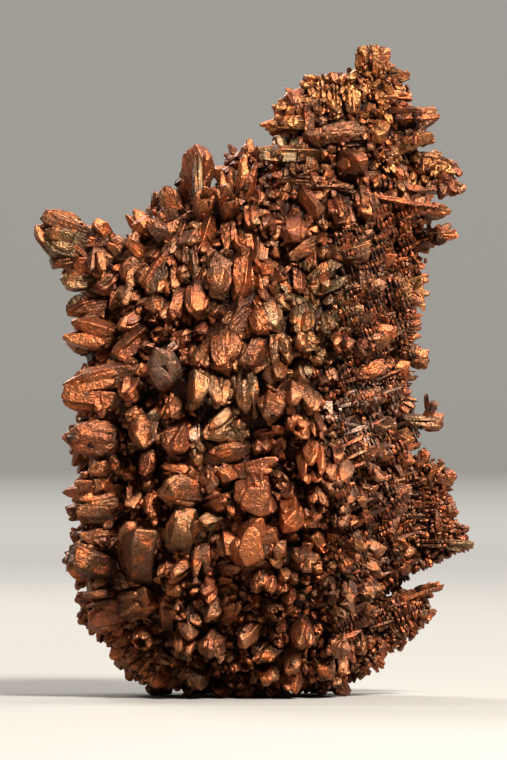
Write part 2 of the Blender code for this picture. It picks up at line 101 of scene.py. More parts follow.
def linear(code: str) -> tuple[float, float, float]:
    """Turns an sRGB hex colour to linear light.

    Args:
        code: six hex digits, red, green and blue.

    Returns:
        The linear red, green and blue, each from 0 to 1.
    """
    values = [int(code[place:place + 2], 16) / 255.0 for place in (0, 2, 4)]
    return tuple(v / 12.92 if v <= 0.04045 else ((v + 0.055) / 1.055) ** 2.4 for v in values)


@dataclass(frozen=True)
class Stain:
    """The colour of one kind of skin on the copper, as two sRGB hex colours that it varies between."""

    light: str
    dark: str

    def pick(self, share: np.ndarray) -> np.ndarray:
        """Linear colours between the light and the dark one, one for each share from 0 to 1."""
        return np.outer(1.0 - share, linear(self.light)) + np.outer(share, linear(self.dark))


class Patina(Enum):
    """The skins that native copper grows in the ground and keeps when it is cleaned. The dark one is also used
    as painted shade, and the gold one is partly painted light.
    """

    BROWN = Stain("754c38", "3c2720")
    RED = Stain("884934", "45261c")
    ORANGE = Stain("b05f39", "6e3d28")
    GOLD = Stain("b37a48", "74492e")
    # Partly painted light: laid on the tower, lighter there where the key light falls strongest.
    OCHRE = Stain("7d6046", "4c3b2b")
    OLIVE = Stain("665b41", "3a3226")
    SILVER = Stain("957b6c", "5e4a41")
    # Dark oxide, also used as painted shade: on the shaded places of the front and on the core.
    DARK_AND_SHADE = Stain("402a22", "221612")


def unit(vectors: np.ndarray) -> np.ndarray:
    """The vectors with their length made 1."""
    return vectors / np.maximum(np.linalg.norm(vectors, axis=-1, keepdims=True), 1e-9)


class Habit(Enum):
    """The habits of the crystals."""

    BULLET = "pointed, with ribs beside it"
    BLOCK = "blunt, with steps"
    LENS = "flat plates, pointed at both ends"
    HOLLOW = "a rim of blocks round a pit"
    RIBBED = "long ribs side by side"
    FORKED = "two points from one root"
    KNOT = "a lump with knobs"
    NEEDLE = "a thin spike"


@dataclass(frozen=True)
class Detail:
    """How finely a crystal is meshed: rubbed edges, daughters, their rubbed edges, dished faces, lumps."""

    limit: float
    rub: float = 0.0
    daughters: int = 0
    daughter_rub: float = 0.0
    dishes: int = 0
    lump: float = 0.0


class Fineness(Enum):
    """How finely a crystal of some width is meshed."""

    TINY = Detail(0.42)
    SMALL = Detail(0.8, daughters=1)
    MIDDLE = Detail(1.5, 0.06, 2, 0.0, 2)
    LARGE = Detail(99.0, 0.045, 5, 0.06, 3, 0.018)

    @classmethod
    def of(cls, width: float) -> Fineness:
        """The fineness that suits a crystal of this width in mm."""
        return next(fineness for fineness in cls if width < fineness.value.limit)


@dataclass(frozen=True)
class Mould:
    """One crystal of half width 1 and half length 1, with its point up."""

    points: np.ndarray
    corners: np.ndarray
    wear: np.ndarray


# How a crystal is cut. Lengths and areas are those of a crystal of half width 1, angles are in radians
FLAT_ANGLE = 0.16
LEAST_DISHED_AREA = 0.2
LEAST_DISHED_FACING = -0.3
DISH_RIM = 0.22
DISH_DEPTHS = (0.1, 0.28)
LONG_EDGE = 0.42
LUMP_FREQUENCY = 3.0
LUMP_SHIFT = 50.0

# How bright each place of a crystal is rubbed
WEAR_BEVEL = 0.6
WEAR_EDGE = 0.25
WEAR_DISH_RIM = 0.4
WEAR_DISH_FLOOR = -1.0
WEAR_BETWEEN = 0.3


def hewn(cloud: np.ndarray, rub: float, dishes: int, lump: float, draw: np.random.Generator) -> Mould:
    """The flat-faced solid round some points, with a few faces that growth left hollow.

    Args:
        cloud: the points.
        rub: how wide its edges are rubbed off.
        dishes: how many of its faces are hollow.
        lump: how uneven it is.
        draw: the source of chance.

    Returns:
        The solid, worn on its edges.
    """
    shell = bmesh.new()
    verts = [shell.verts.new(point) for point in cloud]
    hull = bmesh.ops.convex_hull(shell, input=verts)
    spare = hull["geom_interior"] + hull["geom_unused"]
    spare = {item for item in spare if isinstance(item, bmesh.types.BMVert)}
    bmesh.ops.delete(shell, geom=list(spare), context="VERTS")
    bmesh.ops.dissolve_limit(shell, angle_limit=FLAT_ANGLE, verts=shell.verts, edges=shell.edges)
    if rub:
        edges = list(shell.edges)
        bmesh.ops.bevel(shell, geom=edges, offset=rub, segments=1, affect="EDGES", clamp_overlap=True)
    wear = {vert: WEAR_BEVEL if rub else WEAR_EDGE for vert in shell.verts}
    wide = [
        face for face in shell.faces
        if face.calc_area() > LEAST_DISHED_AREA and face.normal.z > LEAST_DISHED_FACING
    ]
    for number in draw.permutation(len(wide))[:dishes]:
        face = wide[number]
        reach = math.sqrt(face.calc_area() / math.pi)
        inset = bmesh.ops.inset_individual(shell, faces=[face], thickness=DISH_RIM * reach, depth=0.0)
        wear.update({vert: WEAR_DISH_RIM for rim in inset["faces"] for vert in rim.verts if vert not in wear})
        floor = draw.uniform(*DISH_DEPTHS) * reach
        for vert in bmesh.ops.poke(shell, faces=[face])["verts"]:
            vert.co -= wide_normal(vert) * floor
            wear[vert] = WEAR_DISH_FLOOR
    if lump:
        bmesh.ops.triangulate(shell, faces=shell.faces)
        long = [edge for edge in shell.edges if edge.calc_length() > LONG_EDGE]
        bmesh.ops.subdivide_edges(shell, edges=long, cuts=1, use_grid_fill=False)
        shift = Vector(draw.uniform(0.0, LUMP_SHIFT, 3))
        for vert in shell.verts:
            vert.co += noise.noise_vector(vert.co * LUMP_FREQUENCY + shift) * lump
    bmesh.ops.triangulate(shell, faces=shell.faces)
    shell.verts.index_update()
    points = np.array([vert.co[:] for vert in shell.verts])
    corners = np.array([[vert.index for vert in face.verts] for face in shell.faces])
    worn = np.array([wear.get(vert, WEAR_BETWEEN) for vert in shell.verts])
    shell.free()
    return Mould(points, corners, worn)


def wide_normal(vert: bmesh.types.BMVert) -> Vector:
    """The way outward at a vertex, from the faces round it."""
    total = Vector()
    for face in vert.link_faces:
        face.normal_update()
        total += face.normal
    return total.normalized()


@dataclass
class Forms:
    """Shapes the moulds of each habit from clouds of points. Lengths are shares of the half width."""

    draw: np.random.Generator
    daughter_width: tuple[float, float] = (0.4, 0.72)
    daughter_length: tuple[float, float] = (0.4, 0.68)
    daughter_offset: tuple[float, float] = (0.45, 0.72)
    tilt: float = 0.3
    variants: int = 9

    def ring(self, count: int, radius: float, height: float, unevenness: float = 0.12) -> np.ndarray:
        """Points round the axis.

        Args:
            count: how many.
            radius: how far from the axis.
            height: how far along it.
            unevenness: how much each may differ.

        Returns:
            The points.
        """
        draw = self.draw
        start = draw.uniform(0.0, math.tau)
        turn = start + math.tau * (np.arange(count) + draw.uniform(-0.22, 0.22, count)) / count
        away = radius * draw.uniform(1.0 - unevenness, 1.0 + 0.3 * unevenness, count)
        heights = height + draw.uniform(-unevenness, unevenness, count)
        return np.stack([away * np.cos(turn), away * np.sin(turn), heights], 1)

    def barrel(self, sides: int, shoulder: float, blunt: float) -> np.ndarray:
        """A stubby prism with a faceted, tapering end.

        Args:
            sides: its sides.
            shoulder: where its end starts to taper.
            blunt: the radius of its very end.

        Returns:
            Its points.
        """
        draw = self.draw
        end = self.ring(3, blunt, 1.0 - 0.2 * blunt, 0.06) + np.array([*draw.uniform(-0.22, 0.22, 2), 0.0])
        end[0, 2] = 1.0
        low = self.ring(sides, 1.0, -0.5, 0.2)
        high = low * np.array([draw.uniform(0.88, 1.0), draw.uniform(0.88, 1.0), 0.0])
        high[:, 2] = shoulder + draw.uniform(-0.28, 0.16, sides)
        return np.concatenate([self.ring(4, 0.75, -1.0), low, high, end])

    def spindle(self, flatness: float) -> np.ndarray:
        """A long flattened crystal, pointed at both ends.

        Args:
            flatness: its thickness as a share of its width.

        Returns:
            Its points.
        """
        rings = [self.ring(6, 1.0, -0.1), self.ring(5, 0.78, 0.5), self.ring(5, 0.7, -0.65)]
        ends = [(0.0, 0.0, 1.0), (0.1, 0.0, -1.0)]
        return np.concatenate([*rings, ends]) * np.array([1.0, flatness, 1.0])

    def moved(self, cloud: np.ndarray, scale: tuple[float, float, float], place: tuple[float, float, float],
              tilt: float | None = None) -> np.ndarray:
        """A cloud scaled, tilted a little and moved.

        Args:
            cloud: the points.
            scale: its size in each direction.
            place: where its middle goes.
            tilt: the most that it may lean, or None for the usual.

        Returns:
            The new points.
        """
        most = self.tilt if tilt is None else tilt
        lean = Euler(tuple(self.draw.uniform(-most, most, 3))).to_matrix()
        return (cloud * np.array(scale)) @ np.array(lean).T + np.array(place)

    def daughters(self, count: int, blunt: float) -> list[np.ndarray]:
        """Smaller crystals grown on the sides of a main one.

        Args:
            count: how many.
            blunt: how blunt they are.

        Returns:
            Their clouds.
        """
        made = []
        draw = self.draw
        for _ in range(count):
            turn = draw.uniform(0.0, math.tau)
            away = draw.uniform(*self.daughter_offset)
            width = draw.uniform(*self.daughter_width)
            length = draw.uniform(*self.daughter_length)
            place = (away * math.cos(turn), away * math.sin(turn), draw.uniform(-0.05, 0.42))
            made.append(self.moved(self.barrel(4, 0.4, blunt), (width, width, length), place))
        return made

    def clouds(self, habit: Habit, count: int) -> list[np.ndarray]:
        """The solids of one crystal.

        Args:
            habit: its habit.
            count: how many daughters it may carry.

        Returns:
            One cloud of points for each solid.
        """
        draw = self.draw
        if habit is Habit.NEEDLE:
            return [np.concatenate([self.ring(4, 0.8, -1.0), self.ring(4, 1.0, 0.3), self.ring(3, 0.4, 0.95)])]
        if habit is Habit.BULLET:
            main = self.barrel(draw.integers(4, 6), draw.uniform(0.2, 0.5), 0.28)
            return [main] + self.daughters(count, 0.35)
        if habit is Habit.BLOCK:
            main = self.barrel(draw.integers(4, 6), draw.uniform(0.5, 0.72), 0.6)
            return [main] + self.daughters(count, 0.55)
        if habit is Habit.LENS:
            made = [self.spindle(0.8)]
            for side in range(min(count, 2)):
                across = draw.uniform(0.3, 0.45) * (-1) ** side
                place = (across, draw.uniform(0.1, 0.35), draw.uniform(-0.25, 0.0))
                made.append(self.moved(self.spindle(0.8), (0.55, 0.7, draw.uniform(0.6, 0.85)), place, 0.12))
            return made
        if habit is Habit.HOLLOW:
            blocks = 3 + min(count, 2)
            made = [self.moved(self.barrel(6, 0.6, 0.8), (0.95, 0.95, 0.6), (0.0, 0.0, -0.22), 0.08)]
            for number in range(blocks):
                turn = math.tau * (number + draw.uniform(-0.2, 0.2)) / blocks
                place = (0.55 * math.cos(turn), 0.55 * math.sin(turn), draw.uniform(-0.1, 0.2))
                block = self.barrel(4, 0.5, 0.4) * np.array([0.4, 0.66, 0.8])
                made.append(block @ np.array(Euler((0.0, 0.0, turn)).to_matrix()).T + np.array(place))
            return made
        if habit is Habit.RIBBED:
            ribs = 3 if count > 1 else 2
            made = []
            for number in range(ribs):
                rib = self.barrel(5, draw.uniform(0.2, 0.55), 0.3)
                scale = (0.25 + 0.8 / ribs, 0.9, draw.uniform(0.75, 1.0))
                across = (2.0 * number - ribs + 1.0) * 0.75 / ribs
                place = (across, draw.uniform(-0.15, 0.25), draw.uniform(-0.2, 0.0))
                made.append(self.moved(rib, scale, place, 0.1))
            return made
        if habit is Habit.FORKED:
            lean = draw.uniform(0.2, 0.36)
            made = []
            for side in (-1.0, 1.0):
                turned = np.array(Euler((0.0, side * lean, 0.0)).to_matrix())
                prong = self.barrel(5, 0.3, 0.3) * np.array([0.6, 0.85, draw.uniform(0.75, 1.0)])
                made.append(prong @ turned.T + np.array([0.33 * side, 0.0, 0.0]))
            return made + self.daughters(max(count - 1, 0), 0.4)
        lump = unit(draw.normal(size=(12, 3))) * draw.uniform(0.88, 1.08, (12, 1))
        return [lump] + self.daughters(count, 0.45)

    def mould(self, habit: Habit, fineness: Fineness) -> Mould:
        """One mould.

        Args:
            habit: its habit.
            fineness: how finely it is meshed.

        Returns:
            The mould.
        """
        detail = fineness.value
        solids = []
        for number, cloud in enumerate(self.clouds(habit, detail.daughters)):
            main = number == 0
            rub, dishes = (detail.rub, detail.dishes) if main else (detail.daughter_rub, 0)
            solids.append(hewn(cloud, rub, dishes, detail.lump if main else 0.0, self.draw))
        points = np.concatenate([solid.points for solid in solids])
        starts = np.cumsum([0] + [len(solid.points) for solid in solids[:-1]])
        corners = np.concatenate([solid.corners + start for solid, start in zip(solids, starts)])
        return Mould(points, corners, np.concatenate([solid.wear for solid in solids]))

    def all(self) -> dict[tuple[Habit, Fineness], list[Mould]]:
        """Some moulds of every habit and fineness."""
        return {
            (habit, fineness): [self.mould(habit, fineness) for _ in range(self.variants)]
            for habit in Habit for fineness in Fineness
        }


# Without a seed, noise_vector gives other values each time that Blender starts
noise.seed_set(SEED)
MOULDS = Forms(np.random.default_rng(SEED)).all()


@dataclass(frozen=True)
class Crystal:
    """One crystal: where it starts and ends in mm, its width, habit, skin, and which way is outward."""

    root: tuple[float, float, float]
    tip: tuple[float, float, float]
    width: float
    habit: Habit
    patina: Patina
    outward: tuple[float, float, float] = (0.0, -1.0, 0.0)


class Relief:
    """The front of the nugget as a grid of depths, for setting small crystals on what lies under them."""

    STEP = 0.125
    LEFT = -14.5
    LOWEST = -0.5
    COLUMNS = 232
    ROWS = 336
    EYE = -30.0
    FAR = 99.0

    def __init__(self, tree: BVHTree) -> None:
        """Looks at the solids from the front, once for each cell.

        Args:
            tree: the solids' triangles, in mm.
        """
        self.depth = np.full((self.COLUMNS, self.ROWS), self.FAR)
        for column in range(self.COLUMNS):
            for row in range(self.ROWS):
                eye = Vector((self.LEFT + column * self.STEP, self.EYE, self.LOWEST + row * self.STEP))
                hit = tree.ray_cast(eye, Vector((0.0, 1.0, 0.0)))
                if hit[0] is not None:
                    self.depth[column, row] = hit[0].y

    def cell(self, across: float, height: float) -> tuple[int, int]:
        """The cell that holds a place, or else the nearest one."""
        column = int(round((across - self.LEFT) / self.STEP))
        row = int(round((height - self.LOWEST) / self.STEP))
        return min(max(column, 0), self.COLUMNS - 1), min(max(row, 0), self.ROWS - 1)

    def at(self, across: float, height: float, reach: float = 0.3) -> float:
        """The depth of the front near a place, or FAR where nothing is there.

        Args:
            across: the place across, in mm.
            height: the place up, in mm.
            reach: half the side of the square that is looked at, in mm.

        Returns:
            The middle depth of the square's cells that have the nugget behind them.
        """
        column, row = self.cell(across, height)
        span = max(1, int(reach / self.STEP))
        patch = self.depth[max(column - span, 0):column + span + 1, max(row - span, 0):row + span + 1]
        seen = patch[patch < self.FAR]
        return float(np.median(seen)) if len(seen) else self.FAR


def body_front(across: float, height: float, fallback: float) -> float:
    """The depth of the body's front at a place, as in the source.

    Args:
        across: the place across, in mm.
        height: the place up, in mm.
        fallback: the depth where the body isn't there.

    Returns:
        The depth in mm.
    """
    for low, high in zip(BODY, BODY[1:]):
        if height <= high[0]:
            break
    share = min(max((height - low[0]) / (high[0] - low[0]), 0.0), 1.0)
    centre, half, depth, half_depth = (a + (b - a) * share for a, b in zip(low[1:], high[1:]))
    reach = abs(across - centre) / half
    if reach >= 1.0 or not BODY[0][0] - BODY_MARGIN <= height <= BODY[-1][0]:
        return fallback
    return depth - half_depth * (1.0 - reach ** BODY_SQUARENESS) ** (1.0 / BODY_SQUARENESS)


@dataclass
class Skin:
    """The joined mesh of many crystals, as lists of arrays that are put together at the end."""

    points: list[np.ndarray] = field(default_factory=list)
    corners: list[np.ndarray] = field(default_factory=list)
    colours: list[np.ndarray] = field(default_factory=list)
    wear: list[np.ndarray] = field(default_factory=list)
    grain: list[np.ndarray] = field(default_factory=list)
    start: int = 0

    # A crystal that leans away from the way out by more than this share turns a broad side outward
    LYING = 0.3
    LYING_TURN = 0.15
    THICKNESS = (0.8, 1.05)
    SHEAR = 0.18
    BRIGHTNESS = (0.85, 1.12)
    GRAIN_SPAN = 60.0
    WALL_GAP = 0.002

    def grow(self, crystals: list[Crystal], draw: np.random.Generator) -> None:
        """Meshes the crystals, one mould after another.

        Args:
            crystals: the crystals of the piece.
            draw: the source of chance.
        """
        kinds: dict[tuple[Habit, Fineness, int], list[Crystal]] = {}
        for crystal in crystals:
            kind = (crystal.habit, Fineness.of(crystal.width), int(draw.integers(Forms.variants)))
            kinds.setdefault(kind, []).append(crystal)
        for (habit, fineness, number), same in kinds.items():
            self.grow_kind(same, MOULDS[habit, fineness][number], draw)

    def grow_kind(self, crystals: list[Crystal], mould: Mould, draw: np.random.Generator) -> None:
        """Meshes crystals of one mould.

        Args:
            crystals: the crystals.
            mould: their mould.
            draw: the source of chance.
        """
        count = len(crystals)
        roots = np.array([crystal.root for crystal in crystals])
        tips = np.array([crystal.tip for crystal in crystals])
        widths = np.array([crystal.width for crystal in crystals])
        outward = unit(np.array([crystal.outward for crystal in crystals]))
        axes = unit(tips - roots)
        lengths = np.linalg.norm(tips - roots, axis=1)
        lying = (1.0 - np.abs((axes * outward).sum(1)) > self.LYING)[:, None]
        spare = np.where(lying, outward, 0.0)
        spare += draw.normal(size=(count, 3)) * np.where(lying, self.LYING_TURN, 1.0)
        side = unit(np.cross(axes, spare))
        up = np.cross(side, axes)
        thickness = draw.uniform(*self.THICKNESS, count)
        size = np.stack([widths * 0.5, widths * 0.5 * thickness, lengths * 0.5], 1)
        shift = draw.uniform(-self.SHEAR, self.SHEAR, (count, 2))
        mirror = draw.choice((-1.0, 1.0))
        local = (mould.points[None] * np.array([mirror, 1.0, 1.0])).repeat(count, 0)
        local[..., :2] += local[..., 2:] * shift[:, None, :]
        local_mm = local * size[:, None, :]
        placed = np.einsum("nvi,nic->nvc", local_mm, np.stack([side, up, axes], 1))
        placed += ((roots + tips) * 0.5)[:, None, :]
        across = len(mould.points)
        corners = mould.corners if mirror > 0.0 else mould.corners[:, ::-1]
        steps = self.start + np.arange(count)[:, None, None] * across
        share = draw.beta(2.0, 2.0, count)
        colours = np.empty((count, 3))
        for patina in Patina:
            mask = np.array([crystal.patina is patina for crystal in crystals])
            colours[mask] = patina.value.pick(share[mask])
        colours *= draw.uniform(*self.BRIGHTNESS, (count, 1))
        # Painted shade at the roots: the alpha runs from 0 at a crystal's root to 1 at its tip, and the
        # material paints the root as dark as the gaps.
        root_shade_clearing = np.clip((local[..., 2] + 1.0) * 0.5, 0.0, 1.0)
        colours = np.repeat(colours[:, None, :], across, 1)
        self.points.append(placed.reshape(-1, 3))
        self.corners.append((corners[None] + steps).reshape(-1, 3))
        self.colours.append(np.concatenate([colours, root_shade_clearing[..., None]], -1).reshape(-1, 4))
        self.wear.append(np.tile(mould.wear, count))
        self.grain.append((local_mm + draw.uniform(0.0, self.GRAIN_SPAN, (count, 1, 3))).reshape(-1, 3))
        self.start += count * across

    def kept_inside(self, points: np.ndarray) -> np.ndarray:
        """Presses points that leave the solids' box back into its outer layer, each to a depth of its own.

        A plain cut would put the ends of crystals that cross into one plane, where they shade each other black.

        Args:
            points: the points in mm.

        Returns:
            The points, all inside the box.
        """
        low, high = (np.array(corner) / MM for corner in CAD_BOX)
        for sign, wall in ((1.0, high - self.WALL_GAP), (-1.0, -low - self.WALL_GAP)):
            over = np.maximum(sign * points - wall + BOX_LAYER, 0.0)
            points = points - sign * over * over / (over + BOX_LAYER)
        return points

    def to_object(self, name: str) -> bpy.types.Object:
        """Puts the arrays together as one flat-shaded mesh object inside the solids' box.

        Args:
            name: the name of the object.

        Returns:
            The object, in metres.
        """
        points = self.kept_inside(np.concatenate(self.points)) * MM
        corners = np.concatenate(self.corners)
        mesh = bpy.data.meshes.new(name)
        mesh.vertices.add(len(points))
        mesh.vertices.foreach_set("co", points.astype(np.float32).ravel())
        mesh.loops.add(corners.size)
        mesh.loops.foreach_set("vertex_index", corners.astype(np.int32).ravel())
        mesh.polygons.add(len(corners))
        mesh.polygons.foreach_set("loop_start", np.arange(0, corners.size, 3, dtype=np.int32))
        mesh.polygons.foreach_set("use_smooth", np.zeros(len(corners), bool))
        mesh.update(calc_edges=True)
        for label, kind, slot, values in (
            ("patina", "FLOAT_COLOR", "color", np.concatenate(self.colours)),
            ("wear", "FLOAT", "value", np.concatenate(self.wear)),
            ("grain", "FLOAT_VECTOR", "vector", np.concatenate(self.grain)),
        ):
            layer = mesh.attributes.new(label, kind, "POINT")
            layer.data.foreach_set(slot, values.astype(np.float32).ravel())
        thing = bpy.data.objects.new(name, mesh)
        bpy.context.scene.collection.objects.link(thing)
        return thing


@dataclass(frozen=True)
class Patch:
    """A place on the front coloured as listed: middle across and up, radius, skin, and how thorough."""

    across: float
    height: float
    radius: float
    patina: Patina
    share: float = 0.7


# Most of these places are stains. The dark ones are painted shade, darkening the right flank under the tower,
# both sides, the bottom and round the plates at the right, where less light falls. The gold ones on the tower
# are partly painted light.
STAINS_AND_PAINTED_LIGHT = tuple(Patch(*row) for row in (
    (4.2, 35.0, 1.2, Patina.BROWN, 1.0), (6.2, 35.0, 1.3, Patina.BROWN, 1.0),
    (5.0, 33.9, 1.2, Patina.DARK_AND_SHADE, 1.0), (2.4, 34.2, 1.6, Patina.OLIVE, 0.7),
    (3.4, 32.0, 1.7, Patina.BROWN, 0.8), (10.6, 36.6, 1.2, Patina.RED, 0.9),
    (-6.4, 16.5, 1.4, Patina.OCHRE), (-2.0, 16.2, 2.2, Patina.OCHRE),
    (-1.4, 18.6, 2.2, Patina.OCHRE, 0.5), (-7.0, 10.6, 1.0, Patina.OCHRE),
    (-2.8, 11.0, 0.9, Patina.OLIVE), (-4.6, 10.4, 1.0, Patina.OCHRE),
    (-4.6, 20.6, 2.3, Patina.SILVER, 0.45), (-3.6, 16.5, 0.7, Patina.SILVER),
    (-8.5, 8.2, 0.7, Patina.SILVER), (7.2, 18.0, 1.9, Patina.SILVER, 0.6),
    (5.4, 17.2, 1.3, Patina.SILVER, 0.5), (7.9, 15.8, 1.0, Patina.SILVER, 0.6),
    (3.9, 24.6, 2.5, Patina.OLIVE, 0.65), (3.6, 21.6, 1.8, Patina.OLIVE, 0.6),
    (1.4, 20.0, 1.6, Patina.OCHRE, 0.5), (2.4, 17.0, 0.8, Patina.ORANGE),
    (-5.0, 17.9, 0.8, Patina.ORANGE), (2.3, 11.4, 0.9, Patina.ORANGE), (5.0, 13.5, 1.0, Patina.ORANGE),
    (4.3, 4.3, 1.2, Patina.ORANGE, 0.5), (3.3, 6.9, 0.7, Patina.ORANGE),
    (-0.7, 23.4, 1.2, Patina.ORANGE, 0.6), (-9.4, 18.9, 1.6, Patina.ORANGE, 0.5),
    (8.4, 10.4, 0.8, Patina.ORANGE), (6.4, 24.0, 1.6, Patina.ORANGE, 0.5), (13.5, 9.5, 0.8, Patina.OLIVE),
    (11.2, 5.0, 0.7, Patina.OLIVE), (11.0, 21.5, 0.8, Patina.OLIVE), (-3.7, 33.4, 1.6, Patina.OLIVE, 0.7),
    (-12.3, 29.3, 1.4, Patina.OLIVE, 0.4), (9.2, 5.9, 1.2, Patina.ORANGE, 0.5),
    (6.5, 39.0, 3.2, Patina.GOLD, 0.75), (4.0, 36.6, 2.8, Patina.GOLD, 0.7),
    (10.0, 34.5, 2.6, Patina.GOLD, 0.6), (9.9, 29.0, 2.4, Patina.ORANGE, 0.5),
    (10.4, 26.0, 1.4, Patina.GOLD, 0.6), (1.0, 3.0, 5.0, Patina.DARK_AND_SHADE, 0.3),
    (-4.0, 4.0, 4.0, Patina.DARK_AND_SHADE, 0.3), (10.2, 17.8, 1.8, Patina.DARK_AND_SHADE, 0.7),
    (-11.6, 16.3, 1.0, Patina.OLIVE, 0.5), (-11.4, 12.4, 1.0, Patina.OLIVE, 0.5),
    (-11.4, 24.0, 0.9, Patina.OLIVE, 0.6), (-11.8, 26.0, 0.7, Patina.OLIVE, 0.6),
    (-10.8, 8.6, 1.0, Patina.OLIVE, 0.4), (6.5, 27.0, 1.5, Patina.DARK_AND_SHADE, 1.0),
    (6.5, 27.0, 2.6, Patina.DARK_AND_SHADE, 0.6), (7.4, 22.5, 3.0, Patina.DARK_AND_SHADE, 0.5),
    (7.6, 11.5, 3.4, Patina.DARK_AND_SHADE, 0.5), (-10.6, 13.0, 3.0, Patina.DARK_AND_SHADE, 0.35),
    (-10.6, 7.5, 2.6, Patina.DARK_AND_SHADE, 0.35), (-10.0, 19.0, 2.4, Patina.DARK_AND_SHADE, 0.3),
    (7.0, 6.0, 3.0, Patina.DARK_AND_SHADE, 0.3), (11.2, 8.4, 1.0, Patina.DARK_AND_SHADE, 0.9),
    (9.4, 8.2, 1.3, Patina.DARK_AND_SHADE, 0.9), (12.6, 8.9, 0.5, Patina.DARK_AND_SHADE, 0.9),
    (11.6, 6.6, 0.9, Patina.DARK_AND_SHADE, 0.8), (9.6, 4.4, 2.2, Patina.DARK_AND_SHADE, 0.4),
    (6.6, 27.4, 1.9, Patina.DARK_AND_SHADE, 0.9),
))

# The skins away from those places, each up to its share of chance
UNSTAINED = (
    (0.36, Patina.BROWN), (0.76, Patina.RED), (0.9, Patina.ORANGE), (0.95, Patina.OCHRE), (1.0, Patina.DARK_AND_SHADE),
)


def stain_shade_and_light_at(across: float, height: float, draw: np.random.Generator, front: bool = True) -> Patina:
    """The skin of a crystal at a place: a stain, painted shade or partly painted light.

    Args:
        across: the place across, in mm.
        height: the place up, in mm.
        draw: the source of chance.
        front: whether the place is on the front, where the listed places of stains, painted shade and painted
            light are.

    Returns:
        The skin: that of a listed place, which is a stain, painted shade or partly painted light, or else
            mostly brown and red.
    """
    if front:
        for patch in STAINS_AND_PAINTED_LIGHT:
            gap = math.hypot(across - patch.across, height - patch.height)
            if gap < patch.radius and draw.random() < patch.share:
                return patch.patina
    chance = draw.random()
    return next(patina for limit, patina in UNSTAINED if chance < limit)


@dataclass
class Ground:
    """The surface of the solids that the crystals stand on, in mm, and which of its points are taken."""

    relief: Relief
    points: np.ndarray
    normals: np.ndarray
    taken: np.ndarray
    near: KDTree

    SMOOTHING_ROUNDS = 6

    @classmethod
    def of(cls, solid: bpy.types.Object, spacing: float) -> Ground:
        """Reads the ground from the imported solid.

        Args:
            solid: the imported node.
            spacing: the size in mm of the cells that its surface is sampled at.

        Returns:
            The ground, with nothing taken.
        """
        mesh = solid.data
        verts = [vert.co / MM for vert in mesh.vertices]
        tree = BVHTree.FromPolygons(verts, [tuple(face.vertices) for face in mesh.polygons])
        sampled = remeshed(solid, spacing)
        points = np.array([vert.co[:] for vert in sampled.vertices]) / MM
        normals = smoothed_normals(sampled, cls.SMOOTHING_ROUNDS)
        near = KDTree(len(points))
        for number, point in enumerate(points):
            near.insert(point, number)
        near.balance()
        bpy.data.meshes.remove(sampled)
        return cls(Relief(tree), points, normals, np.zeros(len(points), bool), near)

    def take(self, crystals: list[Crystal], share: float) -> None:
        """Marks the places that crystals already cover.

        Args:
            crystals: the crystals.
            share: how far round each, as a share of its width.
        """
        for crystal in crystals:
            root, tip = Vector(crystal.root), Vector(crystal.tip)
            for step in (0.3, 0.6, 0.9):
                for _, number, _ in self.near.find_range(root.lerp(tip, step), crystal.width * share):
                    self.taken[number] = True


def remeshed(solid: bpy.types.Object, spacing: float) -> bpy.types.Mesh:
    """An even mesh over a solid.

    Args:
        solid: the solid, in metres.
        spacing: the size of its cells in mm.

    Returns:
        A new mesh, in metres.
    """
    copy = bpy.data.objects.new("even", solid.data.copy())
    bpy.context.scene.collection.objects.link(copy)
    even = copy.modifiers.new("even", "REMESH")
    even.mode = "VOXEL"
    even.voxel_size = spacing * MM
    view = bpy.context.evaluated_depsgraph_get()
    mesh = bpy.data.meshes.new_from_object(copy.evaluated_get(view))
    bpy.data.objects.remove(copy)
    return mesh


def smoothed_normals(mesh: bpy.types.Mesh, rounds: int) -> np.ndarray:
    """The normals at a mesh's points, averaged with their neighbours' some rounds.

    Args:
        mesh: the mesh.
        rounds: how often they are averaged.

    Returns:
        One unit vector for each point.
    """
    normals = np.array([vert.normal[:] for vert in mesh.vertices])
    ends = np.empty(len(mesh.edges) * 2, np.int32)
    mesh.edges.foreach_get("vertices", ends)
    first, second = ends[0::2], ends[1::2]
    for _ in range(rounds):
        total = normals.copy()
        np.add.at(total, first, normals[second])
        np.add.at(total, second, normals[first])
        normals = unit(total)
    return normals


